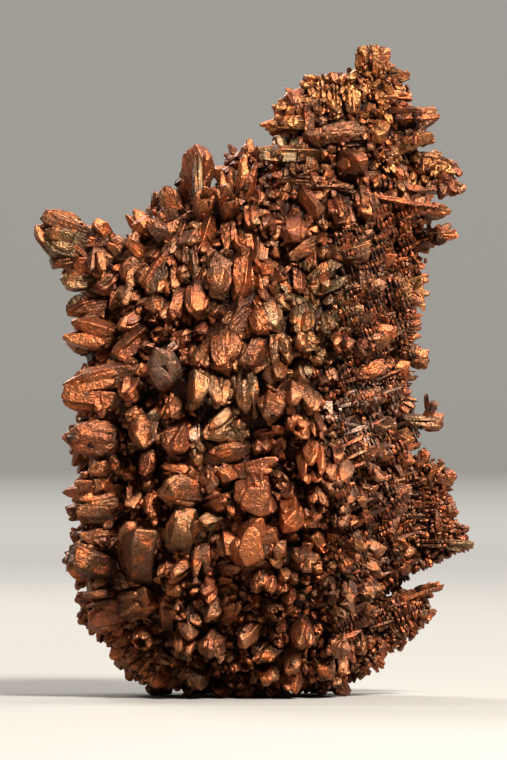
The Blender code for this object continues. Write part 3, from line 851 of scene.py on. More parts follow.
@dataclass
class FrontPatch:
    """A patch of crystals that were read from the front. Each stands on the body, or on what lies there."""

    name: str = ""
    fallback: float = 0.0
    swell: float = 1.3
    small_swell: float = 1.2
    lift: float = 0.0
    main: Rows = ()
    blocks: Rows = ()
    lenses: Rows = ()
    ribbed: Rows = ()
    hollows: Rows = ()
    needles: Rows = ()
    knots: Spots = ()
    combs: CombRows = ()
    main_habits: tuple[Habit, ...] = (Habit.BULLET, Habit.BLOCK, Habit.BLOCK, Habit.FORKED, Habit.HOLLOW)

    # A small crystal's steepest slope, and how deep its root and tip lie, in shares of its width
    SLOPE = 0.3
    ROOT_DEPTH = 0.35
    TIP_DEPTH = 0.02
    # The same for one that is seen end on, and how far it leans
    END_LEAN = 0.25
    END_ROOT_DEPTH = 0.9
    END_TIP_RISE = 0.3
    END_HABITS = (Habit.KNOT, Habit.BLOCK, Habit.BULLET)
    # A comb: how thick its spine is, where its teeth stand, how long they are on each side, how thick
    SPINE_WIDTH = 1.2
    TOOTH_PLACES = (0.3, 0.7)
    LONG_TEETH = (0.75, 1.15)
    SHORT_TEETH = (0.45, 0.9)
    TOOTH_WIDTHS = (0.8, 1.2)
    # How much ground crystals take round them, in shares of their width: large ones, small ones, teeth
    MAIN_REACH = 0.5
    SMALL_REACH = 0.45
    TOOTH_REACH = 0.7

    def standing(self, row: tuple[float, ...], draw: np.random.Generator) -> Crystal:
        """A large crystal, where the source has it.

        Args:
            row: root across, root up, tip across, tip up and width, in mm.
            draw: the source of chance.

        Returns:
            The crystal.
        """
        root_x, root_z, tip_x, tip_z, width = row
        span = math.hypot(tip_x - root_x, tip_z - root_z)
        depth = body_front(root_x, root_z, self.fallback)
        rise = math.sqrt(max((LENGTH_RATIO * width) ** 2 - span ** 2, (LEAST_RISE * width) ** 2))
        facing = min(1.0, max(LEAST_FACING, (self.fallback - depth) / FACING_DEPTH))
        root = Vector((root_x, depth, root_z))
        tip = Vector((tip_x, depth - min(rise, MOST_RISE) * facing, tip_z))
        root -= (tip - root).normalized() * SINK
        habit = self.main_habits[draw.integers(len(self.main_habits))]
        if span > width and habit is Habit.HOLLOW:
            habit = Habit.BLOCK
        patina = stain_shade_and_light_at((root_x + tip_x) / 2, (root_z + tip_z) / 2, draw)
        return Crystal(tuple(root), tuple(tip), width * self.swell, habit, patina)

    def lying(self, row: tuple[float, ...], habit: Habit, ground: Ground, draw: np.random.Generator) -> Crystal:
        """A small crystal, on what is in front at its place.

        Args:
            row: root across, root up, tip across, tip up and width, in mm.
            habit: its habit.
            ground: what it lies on.
            draw: the source of chance.

        Returns:
            The crystal.
        """
        root_x, root_z, tip_x, tip_z, width = row
        span = math.hypot(tip_x - root_x, tip_z - root_z)
        depths = [ground.relief.at(root_x, root_z), ground.relief.at(tip_x, tip_z)]
        depths = [self.fallback if depth == Relief.FAR else depth for depth in depths]
        middle = sum(depths) / 2.0
        most = self.SLOPE * span
        depths = [min(max(depth, middle - most), middle + most) - self.lift for depth in depths]
        root = (root_x, depths[0] + self.ROOT_DEPTH * width, root_z)
        tip = (tip_x, depths[1] + self.TIP_DEPTH * width, tip_z)
        patina = stain_shade_and_light_at((root_x + tip_x) / 2, (root_z + tip_z) / 2, draw)
        return Crystal(root, tip, width * self.small_swell, habit, patina)

    def knot(self, spot: tuple[float, float, float], ground: Ground, draw: np.random.Generator) -> Crystal:
        """A small crystal that is seen end on.

        Args:
            spot: place across, place up and width, in mm.
            ground: what it grows from.
            draw: the source of chance.

        Returns:
            The crystal.
        """
        across, height, width = spot
        depth = ground.relief.at(across, height)
        depth = self.fallback if depth == Relief.FAR else depth
        lean = draw.normal(size=2) * self.END_LEAN * width
        root = (across - lean[0], depth + self.END_ROOT_DEPTH * width, height - lean[1])
        tip = (across + lean[0], depth - self.END_TIP_RISE * width, height + lean[1])
        habit = self.END_HABITS[draw.integers(len(self.END_HABITS))]
        return Crystal(root, tip, width * self.small_swell, habit, stain_shade_and_light_at(across, height, draw))

    def teeth(self, row: tuple[float, ...], ground: Ground, draw: np.random.Generator) -> list[Crystal]:
        """A comb: teeth on both sides of a thin spine.

        Args:
            row: the spine's ends, a tooth across and up, the spacing and the tooth's width, in mm.
            ground: what it lies on.
            draw: the source of chance.

        Returns:
            The teeth and the spine.
        """
        start_x, start_z, end_x, end_z, tooth_x, tooth_z, spacing, width = row
        count = max(2, round(math.hypot(end_x - start_x, end_z - start_z) / spacing))
        spine = (start_x, start_z, end_x, end_z, width * self.SPINE_WIDTH)
        made = [self.lying(spine, Habit.NEEDLE, ground, draw)]
        for step in range(count):
            share = (step + draw.uniform(*self.TOOTH_PLACES)) / count
            across, height = start_x + (end_x - start_x) * share, start_z + (end_z - start_z) * share
            for side, reach in ((1.0, draw.uniform(*self.LONG_TEETH)), (-1.0, draw.uniform(*self.SHORT_TEETH))):
                tip_x, tip_z = across + tooth_x * side * reach, height + tooth_z * side * reach
                tooth = (across, height, tip_x, tip_z, width * draw.uniform(*self.TOOTH_WIDTHS))
                made.append(self.lying(tooth, Habit.NEEDLE, ground, draw))
        return made

    def crystals(self, ground: Ground, draw: np.random.Generator) -> list[Crystal]:
        """Every crystal of the patch.

        Args:
            ground: what they stand on.
            draw: the source of chance.

        Returns:
            The crystals, large ones first.
        """
        made = [self.standing(row, draw) for row in self.main]
        ground.take(made, self.MAIN_REACH)
        small: list[Crystal] = []
        for rows, habit in (
            (self.blocks, Habit.BLOCK), (self.lenses, Habit.LENS), (self.ribbed, Habit.RIBBED),
            (self.hollows, Habit.HOLLOW), (self.needles, Habit.NEEDLE),
        ):
            small += [self.lying(row, habit, ground, draw) for row in rows]
        small += [self.knot(spot, ground, draw) for spot in self.knots]
        ground.take(small, self.SMALL_REACH)
        toothed = [tooth for row in self.combs for tooth in self.teeth(row, ground, draw)]
        ground.take(toothed, self.TOOTH_REACH)
        return made + small + toothed

    def build(self, ground: Ground, draw: np.random.Generator) -> bpy.types.Object:
        """Meshes the patch as one joined piece.

        Args:
            ground: what its crystals stand on.
            draw: the source of chance.

        Returns:
            The piece.
        """
        skin = Skin()
        skin.grow(self.crystals(ground, draw), draw)
        return skin.to_object(self.name)


@dataclass
class LeftHorn(FrontPatch):
    """The arm that leaves the body's upper left and ends in a horn."""

    name: str = "left_horn"
    swell: float = 1.6
    fallback: float = -0.8
    main: Rows = (
        (-11.3, 27.2, -13.85, 29.5, 0.9), (-10.4, 29, -13.4, 30.1, 1), (-10.6, 27.7, -13.2, 29.2, 1.1),
        (-9.4, 28.4, -10.8, 29.2, 0.9), (-8.6, 27.8, -8.9, 28.9, 0.9), (-10.5, 26.9, -12.1, 26, 1),
        (-7.4, 26.4, -7.5, 25.3, 0.9), (-5.7, 26.8, -6.7, 25.1, 1), (-9.2, 24.9, -11.8, 24.3, 1.2),
        (-9, 24, -11.2, 23.2, 0.9), (-8.6, 22.5, -11.9, 23.1, 1.4), (-7.2, 23.8, -8.5, 23.1, 0.9),
        (-7, 22.7, -8.7, 21.3, 0.9), (-7.7, 25.3, -8.2, 24.3, 1), (-6.2, 24.7, -6, 24, 0.9),
        (-8.6, 27.2, -10.2, 28.6, 1.5), (-8.2, 26.4, -9.6, 26.9, 1.1), (-6.8, 27.5, -8.5, 26.2, 1.3),
        (-7, 26.8, -7.6, 25.3, 1.1), (-5.5, 27.3, -6.8, 25.5, 0.9), (-9.4, 29, -10.2, 29.7, 0.9),
        (-10.3, 28.2, -12.9, 30.1, 1.2), (-10.3, 26.3, -12, 25.9, 1), (-9, 25.2, -10.6, 25.4, 0.9),
        (-11.0, 28.2, -13.4, 29.0, 1.5), (-9.9, 28.3, -12.2, 28.3, 1.3), (-9.6, 27.3, -11.4, 27.0, 1.3),
        (-8.9, 27.0, -8.2, 25.6, 1.1), (-9.6, 26.6, -9.6, 25.4, 1.0), (-8.4, 28.0, -9.3, 28.6, 1.2),
        (-7.6, 27.0, -6.9, 26.0, 1.0), (-10.4, 27.2, -10.6, 26.0, 0.9), (-11.4, 27.6, -12.8, 27.4, 1.0),
    )
    blocks: Rows = (
        (-10.3, 27, -9.3, 26.3, 0.75), (-7.9, 27.1, -8.9, 26.8, 0.4), (-7, 27.1, -8, 26.3, 0.5),
        (-6.5, 27.2, -5.3, 27.1, 0.35), (-10.2, 26, -11.1, 25.9, 0.8), (-9.1, 25.8, -8.6, 25.4, 0.5),
        (-8.7, 27.4, -6.8, 27.5, 0.5),
    )
    lenses: Rows = (
        (-9.2, 24.8, -10.9, 25.4, 0.6), (-9.7, 24.8, -11.8, 24, 0.7), (-10.8, 25.2, -11.8, 24.2, 0.6),
        (-9.2, 24.2, -11.2, 23.3, 0.6), (-8, 22.6, -8.9, 21.7, 0.4), (-7.1, 22.5, -8.6, 21.2, 0.55),
    )
    ribbed: Rows = (
        (-11.9, 27.2, -13.8, 29.4, 0.7), (-10.7, 27.4, -12.9, 29.5, 0.9), (-10.9, 29.4, -13.3, 30.3, 0.8),
    )
    knots: Spots = (
        (-9.5, 29, 0.5), (-10.7, 29.5, 0.5), (-8.9, 28.9, 0.5), (-10.3, 28.5, 0.8), (-9.4, 28.3, 0.8),
        (-8.1, 25.1, 0.6), (-7.6, 24.7, 0.6), (-8.4, 24.4, 0.5), (-7.6, 24.1, 0.7), (-6.5, 23.8, 0.7),
        (-5.9, 24.5, 0.9),
    )


@dataclass
class LeftFlank(FrontPatch):
    """The broad crystals of the left side, whose tips make its outline."""

    name: str = "left_flank"
    swell: float = 1.35
    small_swell: float = 1.45
    main_habits: tuple[Habit, ...] = (
        Habit.BULLET, Habit.LENS, Habit.BULLET, Habit.FORKED, Habit.BLOCK, Habit.HOLLOW,
    )
    main: Rows = (
        (-7.6, 20.2, -12, 19.6, 1.4), (-8, 18.6, -12.05, 18.8, 1.4), (-7.4, 19.8, -7.7, 18.4, 1.2),
        (-5, 19.6, -6.3, 21.9, 1.9), (-8.4, 16.2, -12, 16.2, 2.1), (-8.4, 13.1, -11.9, 12.7, 1.6),
        (-8.2, 11.8, -11.2, 11.9, 1.3), (-9.2, 13.8, -9.5, 12.5, 0.9), (-8.2, 14, -8.9, 15.2, 1.2),
        (-6.9, 17.4, -6.6, 15.5, 1.8), (-4.2, 17, -5.1, 15.3, 1.4), (-6.5, 15.2, -6.8, 13.9, 1.3),
        (-3.6, 14.1, -5.8, 14.4, 0.9), (-3.4, 12.8, -5.6, 13, 1.6), (-7.3, 13.4, -7.5, 11.7, 1.1),
        (-6.1, 12.6, -6.4, 11, 1.3), (-4.4, 9.2, -4.4, 11.9, 1.8), (-7.1, 7.9, -6.9, 11, 2.1),
        (-8, 8.2, -8.4, 10.9, 0.9), (-8.6, 8.2, -11.6, 8.6, 1.9), (-8.2, 10.3, -10.9, 10.1, 0.9),
        (-7.3, 17.9, -7.6, 17.2, 1), (-4.7, 18.4, -4.9, 17.6, 1), (-8, 14.6, -10.5, 14.2, 1),
    )
    blocks: Rows = (
        (-5.5, 21.6, -4.7, 22.1, 0.5), (-6.8, 17.2, -5.7, 17.8, 0.5), (-4.3, 18, -6, 17, 0.5),
        (-11.6, 16.2, -10.8, 16.3, 0.4), (-9.3, 15, -9.9, 14.2, 0.7), (-8.6, 15, -8.5, 14.3, 0.5),
        (-9.2, 15, -8.8, 14.2, 0.5), (-8.7, 16.7, -8.75, 15.9, 0.45), (-5.3, 16.6, -6.2, 16.1, 0.6),
        (-3.4, 16, -3.6, 15.2, 0.6), (-5.4, 14.7, -3.4, 14.2, 0.4), (-6.2, 13.6, -5.9, 13.4, 0.5),
        (-5.55, 10.5, -5.4, 9.6, 0.5), (-5.8, 10.8, -5.5, 10.9, 0.4), (-6, 9.4, -6.9, 9, 0.6),
        (-8, 8.2, -8.3, 10.7, 0.5), (-7.7, 11.2, -8.2, 10.9, 0.4), (-8.9, 11.3, -9.1, 10.5, 0.5),
        (-8.7, 11.4, -8.5, 11.2, 0.4), (-10.7, 10.2, -10.6, 9.8, 0.7), (-9.4, 11.1, -11, 11.2, 0.5),
        (-10.2, 9.2, -10.1, 8, 0.5), (-10.8, 9.3, -10.7, 7.7, 0.7), (-11.1, 9.4, -11.4, 8, 0.5),
    )
    lenses: Rows = (
        (-8.4, 20.3, -11.8, 19.4, 0.9), (-9, 19.4, -11.1, 19.1, 0.9), (-9.5, 18.3, -12, 18.6, 0.8),
        (-9.2, 17.5, -10.3, 17.55, 0.3),
    )
    hollows: Rows = (
        (-9.4, 9.4, -9.4, 8.4, 1),
    )
    knots: Spots = (
        (-8.8, 18.3, 0.7), (-7.3, 21.1, 0.5), (-7.5, 17.7, 0.9), (-6.5, 18.2, 0.5), (-8.2, 16.3, 0.5),
        (-4.1, 17, 0.4), (-6.8, 13.7, 0.4), (-7.2, 11.5, 0.6), (-6.9, 12.2, 0.4), (-10.5, 13.9, 0.5),
        (-10.4, 9.4, 0.7), (-9.45, 13.2, 0.9), (-5.5, 12, 0.45),
    )


@dataclass
class LowerLeft(FrontPatch):
    """The crowded crystals at the lower left."""

    name: str = "lower_left"
    swell: float = 1.4
    small_swell: float = 1.5
    main: Rows = (
        (-8.9, 7.6, -10.3, 7, 1.2), (-8.4, 7.2, -8.6, 5.5, 1), (-8.1, 5.9, -6.1, 6.4, 1.7),
        (-8, 6.4, -10.8, 6.1, 0.9), (-8, 5.2, -10.4, 4.6, 1.3), (-7.6, 3.9, -9.1, 3.1, 1.2),
        (-7.1, 3.2, -8.7, 2.1, 1.1), (-6.4, 2.6, -7.8, 1.6, 1), (-6.7, 4.1, -7.1, 3.2, 1.2),
        (-6.7, 4, -5.4, 4.4, 0.9), (-5.4, 5, -5.6, 6.6, 1), (-5.2, 5.7, -4.5, 5.3, 0.9),
        (-4.4, 8.5, -5.6, 7.7, 1.3), (-5, 7.5, -4.9, 6.7, 1), (-4.1, 4.6, -4.2, 3.3, 1.4),
        (-5.9, 2.9, -5.2, 2.4, 0.9), (-6, 2.1, -4.7, 1.6, 0.9), (-5.5, 2.2, -6.1, 0.5, 1.1),
        (-3.6, 5.6, -3.8, 4.5, 0.9), (-5.9, 2.6, -7.1, 1, 1),
    )
    blocks: Rows = (
        (-8.5, 8.7, -8.4, 8, 0.55), (-8.6, 7.7, -7.9, 7.3, 0.5), (-10.1, 5.3, -10.4, 5.1, 0.6),
        (-9.3, 5.8, -9.5, 4, 0.8), (-8.4, 4.6, -8.5, 3.8, 0.5), (-8.5, 3.4, -8.6, 2.3, 0.7),
        (-8, 3, -8, 2, 0.7), (-5.7, 3.1, -4.9, 3.5, 0.4), (-6.3, 2.7, -5.3, 2.5, 0.5),
        (-7.2, 2.9, -6.3, 2.7, 0.5), (-4.8, 5.9, -4.3, 6.3, 0.6), (-6.1, 5.6, -6.1, 5, 0.4),
        (-4.2, 8.2, -3.9, 8, 0.5), (-4.1, 5.4, -4.2, 4.7, 0.6), (-3.6, 5.3, -3.7, 4.6, 0.7),
        (-4.9, 2.7, -4.3, 2.8, 0.35), (-6.5, 1.9, -4.6, 1.6, 0.6), (-5.8, 1.4, -5.2, 1.6, 0.3),
        (-7.3, 1.5, -7.2, 1.2, 0.4),
    )
    knots: Spots = (
        (-10.2, 4.6, 0.5), (-8.9, 4.4, 0.4), (-6, 8.2, 0.6), (-6, 7.8, 0.5), (-4.2, 9, 0.6), (-4.6, 9, 0.6),
        (-4, 2.4, 0.8), (-6, 1.9, 0.6), (-6.7, 1.5, 0.5), (-6.9, 1, 0.4),
    )


@dataclass
class Centre(FrontPatch):
    """The largest crystals, in the middle of the front."""

    name: str = "centre"
    swell: float = 1.5
    small_swell: float = 1.55
    main: Rows = (
        (-2.2, 27.2, -2.1, 25, 1.4), (-0.6, 27.4, -0.6, 24.6, 1.4), (-3.3, 25.4, -3.7, 23.8, 1.1),
        (-4.7, 24.9, -5, 23.7, 0.9), (-0.8, 24.2, -1.5, 22.5, 1.1), (0.2, 23.9, 0.6, 22.6, 1),
        (1.1, 24.3, 1.4, 22.9, 1), (3.1, 24.1, 2.9, 22.7, 1), (3.2, 22.5, 3.2, 21.9, 1),
        (4.4, 23.5, 4.4, 22.9, 1), (1.6, 22.4, 1.6, 20.7, 1.1), (0.3, 22, -0.3, 20.5, 1.2),
        (-1.9, 22.6, -2.1, 20.4, 1.6), (-3.2, 21.4, -3.4, 20.5, 1.1), (-3.1, 20.3, -3, 18, 1.9),
        (-0.5, 20.5, -0.4, 17.3, 1.4), (1.4, 20.6, 1.6, 19.4, 1.2), (1.3, 19.2, 1.2, 17.5, 1.4),
        (2.9, 19.3, 2.8, 17.7, 1.6), (2.7, 17.5, 2.6, 16.5, 1.3), (-1.6, 17.4, -3.2, 16.4, 1.2),
        (-2.5, 15.2, -0.3, 15.5, 1), (-3.5, 16, -3.5, 15.1, 0.9), (-1.2, 14.1, 1.6, 14.7, 1),
        (0.2, 13, 0, 12.3, 1.8), (-1.3, 12.4, -1.2, 11.2, 0.9), (-2.6, 12.2, -1.8, 12.6, 1),
        (-2.9, 14.1, -2.7, 13, 1), (3.5, 15.4, 3.6, 13.9, 1.6), (2.4, 12.1, 2.3, 10.7, 1.4),
        (4, 13, 4, 11.9, 1.1), (5.6, 22.4, 5.4, 21.9, 1),
    )
    blocks: Rows = (
        (0.4, 26.9, 0.6, 25.2, 0.6), (1.2, 26.5, 1.3, 25.2, 0.5), (2.8, 26.6, 2.9, 25.2, 0.6),
        (-2.3, 24.6, -3.4, 23.8, 0.8), (2.5, 25.2, 2.5, 24.2, 0.65), (3.1, 24.1, 2.9, 22.7, 0.9),
        (2.9, 21.1, 2.9, 19.7, 0.8), (-3.1, 21.8, -3.7, 21.1, 0.5), (-1.2, 22, -0.9, 21, 0.4),
        (-0.9, 21, -1.8, 19.6, 0.4), (1, 20.1, 2.5, 20.1, 0.8), (-2.9, 18.4, -2.2, 19, 0.35),
        (-2.2, 18.9, -1.3, 19.2, 0.7), (-2, 19.3, -1.1, 20.5, 0.4), (-1, 18.7, -1.3, 17.5, 0.5),
        (0.9, 19.6, 0.4, 18.3, 0.6), (-3.6, 17.3, -3.5, 15.9, 0.7), (0, 16.5, 1.4, 16.6, 0.7),
        (0.2, 16.2, 0.4, 15.2, 0.6), (1, 15.3, 2.1, 16.2, 0.7), (1.4, 15.1, 2, 15.3, 0.5),
        (-3, 16.5, -1.6, 17.2, 0.5), (-1.6, 17.2, -0.6, 16, 0.5), (-0.6, 16, -0.4, 15.5, 0.5),
        (-2.4, 15.1, -0.5, 15.4, 0.6), (2.3, 13.5, 2.2, 12.3, 0.8), (2.85, 13.3, 2.9, 12.4, 0.6),
        (3.6, 13.6, 3.4, 13.1, 0.6), (-0.4, 11.6, -0.4, 11.2, 0.35),
    )
    hollows: Rows = (
        (-1.8, 16.8, -1.8, 15.8, 1.2), (0.8, 21.4, 0.8, 20.6, 0.8),
    )
    knots: Spots = (
        (-1.8, 27.6, 0.8), (2, 25.6, 0.7), (-4.7, 25.2, 0.6), (-5.3, 23.1, 0.8), (-5.8, 23.9, 0.5),
        (-0.5, 22.6, 0.6), (1.6, 24.6, 0.6), (2.3, 23.4, 0.9), (3.8, 25, 0.9), (3.3, 25.3, 0.5),
        (3.2, 22.2, 1), (2.2, 22.3, 0.8), (2.5, 21.5, 0.8), (3.7, 20.3, 0.7), (4.4, 21.6, 0.75),
        (5.2, 21.4, 0.65), (4, 21.1, 0.8), (4.2, 22.5, 0.5), (-3.3, 20.8, 0.8), (0.6, 20.1, 0.5),
        (3.9, 18, 0.7), (-4.4, 17.6, 0.4), (-1, 13.8, 0.5), (0.5, 13.3, 0.7), (-0.7, 13.2, 0.6),
        (-0.1, 11.5, 0.35), (-2.4, 14.4, 0.8), (-3.4, 14.2, 0.5), (3.4, 16.1, 0.7), (4.2, 15.6, 0.6),
        (4.4, 16.8, 0.5), (4.9, 15.8, 0.5), (4.9, 16.5, 0.5),
    )


@dataclass
class LowerCentre(FrontPatch):
    """The crystals below the middle, down to the worn tips at the floor."""

    name: str = "lower_centre"
    swell: float = 1.4
    small_swell: float = 1.5
    main: Rows = (
        (-2.2, 11.2, -3.2, 11, 1), (-1.6, 10.4, -1.6, 9, 1), (-3.2, 9.8, -3.3, 7.6, 1.1),
        (0.1, 8.6, 0.1, 11.3, 2.1), (1.7, 9.9, 1.5, 9.2, 1), (1.5, 9, 1.5, 8.4, 0.9),
        (3.1, 9.1, 3, 8.3, 1.2), (3.6, 11.6, 3.6, 10.9, 1), (2.1, 7.9, 2.1, 7, 1.2),
        (0.7, 7.9, 0.5, 6.5, 1.2), (-2.7, 7, -2.9, 6.4, 1), (-2.6, 6.1, -2.5, 5.1, 1),
        (-1.7, 5.3, -1.2, 6.2, 1.1), (2.1, 6.8, 2.1, 6.1, 1), (1, 5.9, 1.6, 5.2, 1),
        (0.1, 4.4, -0.6, 3.3, 1), (3, 4.6, 2.9, 3.1, 1.2), (1.3, 3, 0.5, 2.5, 1.1),
        (-2.2, 3.9, -2.8, 3, 1.2), (-1.3, 2.7, -1.3, 2, 0.9), (-3.2, 1.9, -3.8, 1, 1.3),
        (0.9, 1.9, 0.8, 1.2, 1), (2.4, 2.9, 2.5, 1.7, 1), (2.5, 1.8, 2.4, 0.5, 1.1),
        (4.5, 2.2, 4.4, 1.3, 1.1),
    )
    blocks: Rows = (
        (-2.2, 11.2, -3.2, 11.1, 0.6), (-2.2, 11.2, -1.3, 10.8, 0.45), (-1.2, 10.6, -1.1, 10.3, 0.5),
        (-3.5, 10.4, -3, 10.2, 0.7), (-2.3, 9.6, -2.5, 8.7, 0.5), (1.2, 11.3, 1.5, 10.8, 0.6),
        (0.7, 7.9, 1.2, 7.5, 0.7), (-2.2, 7.5, -1.2, 7.4, 0.7), (-0.7, 7.3, -0.4, 6.2, 0.5),
        (-1.7, 5.4, -1.6, 6.2, 0.7), (-1.5, 5.3, -0.8, 6.2, 0.5), (-0.8, 5.5, 0, 6, 0.35),
        (2.1, 5.4, 2.8, 5.7, 0.4), (4.9, 6, 3.7, 6.1, 0.5), (4.8, 5.8, 3.7, 5.9, 0.4),
        (-3.4, 4.6, -2.7, 4.6, 0.35), (-1.8, 4.3, -1.3, 4.6, 0.5), (0.3, 4.3, -0.1, 3.3, 0.4),
        (0.4, 2.9, 1.5, 3.5, 0.4), (-2.6, 3.5, -2, 3.5, 0.35), (-0.6, 2.2, -0.6, 1.7, 0.4),
        (-0.2, 2.4, -0.1, 1.8, 0.6), (-2.8, 2.1, -2, 2.1, 0.3), (-2.5, 1.6, -2.1, 1.7, 0.5),
        (-1.1, 1.2, -0.2, 1.3, 0.35), (1.5, 1.7, 1.7, 1.6, 0.5), (0.5, 0.9, 0.6, 0.7, 0.5),
    )
    lenses: Rows = (
        (-2.4, 8.1, -1.3, 8.9, 0.4), (-2.3, 8.05, -0.6, 8.2, 0.6), (-2.7, 8.3, -2.3, 8.7, 0.3),
        (-3.7, 6.5, -2.4, 6.3, 0.45),
    )
    hollows: Rows = (
        (0.35, 7.9, 0.35, 7.1, 0.9), (3, 4.5, 2.9, 3.1, 1.1), (0.5, 9.8, 0.5, 9, 0.9),
    )
    knots: Spots = (
        (-2.8, 10.6, 0.8), (-2.4, 10.1, 0.9), (1, 9.4, 0.5), (0.4, 8.8, 0.8), (2.3, 9.2, 0.7),
        (4.1, 8.4, 0.5), (2.6, 7.4, 0.4), (-3.4, 7.2, 0.5), (1.3, 6.3, 0.5), (1.8, 4.7, 0.6),
        (1.6, 4.4, 0.6), (2.85, 6.7, 0.35), (3.3, 6.9, 0.4), (3.9, 6.95, 0.5), (3.35, 5.5, 0.5),
        (-1.2, 4.8, 0.4), (-0.7, 4.7, 0.5), (3.8, 3.7, 0.7), (0.3, 2.7, 0.6), (-2, 3, 0.5),
        (-1.5, 3.4, 0.5), (-0.6, 2.8, 0.5), (-3.9, 1.3, 0.6), (1.1, 1.4, 0.6), (3.2, 1.6, 0.5),
        (4.6, 11.4, 0.7), (4.5, 10.8, 0.5), (3.6, 11.3, 0.9), (3.9, 10, 0.9), (3.2, 10.1, 0.5),
        (3.3, 9.5, 0.8), (4.8, 10, 0.5),
    )


@dataclass
class LowerRight(FrontPatch):
    """The small crystals at the lower right."""

    name: str = "lower_right"
    main: Rows = (
        (5.2, 3.6, 5.2, 2.9, 1.3), (5, 5.6, 5.5, 5.2, 1), (4.6, 7.3, 4.6, 6.7, 0.9),
        (5.8, 6.8, 5.8, 6.2, 1.1), (5.6, 8.6, 5.7, 8, 0.9), (7, 7, 7.3, 6.4, 1), (6.4, 9.9, 6.6, 9.4, 1),
        (5.5, 11.6, 5.5, 10.9, 1.1), (5, 14, 5, 13.1, 1.9), (5.6, 13, 5.4, 12.1, 1.2),
        (6.5, 12.8, 6.6, 12.1, 1), (5.4, 2.4, 5.6, 1.5, 0.9), (5, 1.8, 5, 0.6, 1),
        (6.6, 3.6, 6.9, 2.6, 0.9),
    )
    blocks: Rows = (
        (4.7, 8.4, 4.5, 8.1, 0.5), (5.5, 8.3, 5.9, 8.2, 0.8), (6.3, 8.3, 6.2, 7.9, 0.5),
        (5.3, 4.7, 5, 4.6, 0.5), (6.8, 3, 7, 2.7, 0.5), (6.9, 2.2, 7.3, 2.2, 0.4),
        (6.2, 2.5, 6.3, 1.5, 0.35), (5.3, 2.3, 5.8, 2.3, 0.35), (6.5, 1.5, 6.9, 1.2, 0.5),
        (6.3, 13.8, 6.5, 13.7, 0.6), (5.5, 10.1, 5.3, 9.7, 0.6),
    )
    needles: Rows = (
        (6.3, 8.8, 6.9, 8.2, 0.3), (6.6, 8.9, 7.1, 8.4, 0.3), (7, 9.4, 7.4, 8.9, 0.3),
        (6.2, 4.1, 6.6, 3.5, 0.3), (6.5, 4.2, 6.9, 3.8, 0.3), (6.8, 4.9, 7.3, 4.3, 0.3),
        (7.4, 13.9, 8.1, 13.6, 0.3), (6.8, 14, 7.3, 14, 0.3), (7.2, 14.4, 8.1, 13.6, 0.3),
    )
    knots: Spots = (
        (5.2, 8.7, 0.6), (5.1, 7.8, 0.5), (5.8, 7.7, 0.5), (6.8, 7, 0.5), (7.3, 7.4, 0.5), (6.1, 6.6, 0.7),
        (6.6, 6.6, 0.4), (7.3, 6.5, 0.6), (7.2, 6.2, 0.5), (6.8, 5.9, 0.5), (7.2, 5.4, 0.5),
        (6.2, 5.5, 0.5), (5.8, 5.5, 0.5), (6, 5, 0.4), (6.9, 4.5, 0.4), (4.9, 4, 0.4), (5.4, 2.8, 0.5),
        (4.7, 2.9, 0.4), (5.5, 1.8, 0.5), (5.1, 1.5, 0.4), (5.6, 1.4, 0.4), (4.8, 0.9, 0.5),
        (5.5, 0.7, 0.5), (7.2, 1.5, 0.4), (6.3, 7.2, 0.35), (5.5, 11.2, 0.9), (6.3, 9.7, 0.6),
        (6.9, 9.7, 0.6), (5.9, 9.6, 0.4), (6.5, 14.5, 0.7), (6.3, 12.6, 0.6), (6.4, 12.1, 0.6),
        (6.8, 13.3, 0.8),
    )
    combs: CombRows = (
        (7, 12.9, 8, 12.5, 0.25, -0.45, 0.22, 0.2), (6, 11.1, 7.5, 11.7, -0.3, 0.4, 0.25, 0.2),
        (6.2, 11.6, 6.9, 11.95, -0.3, 0.4, 0.25, 0.2),
    )


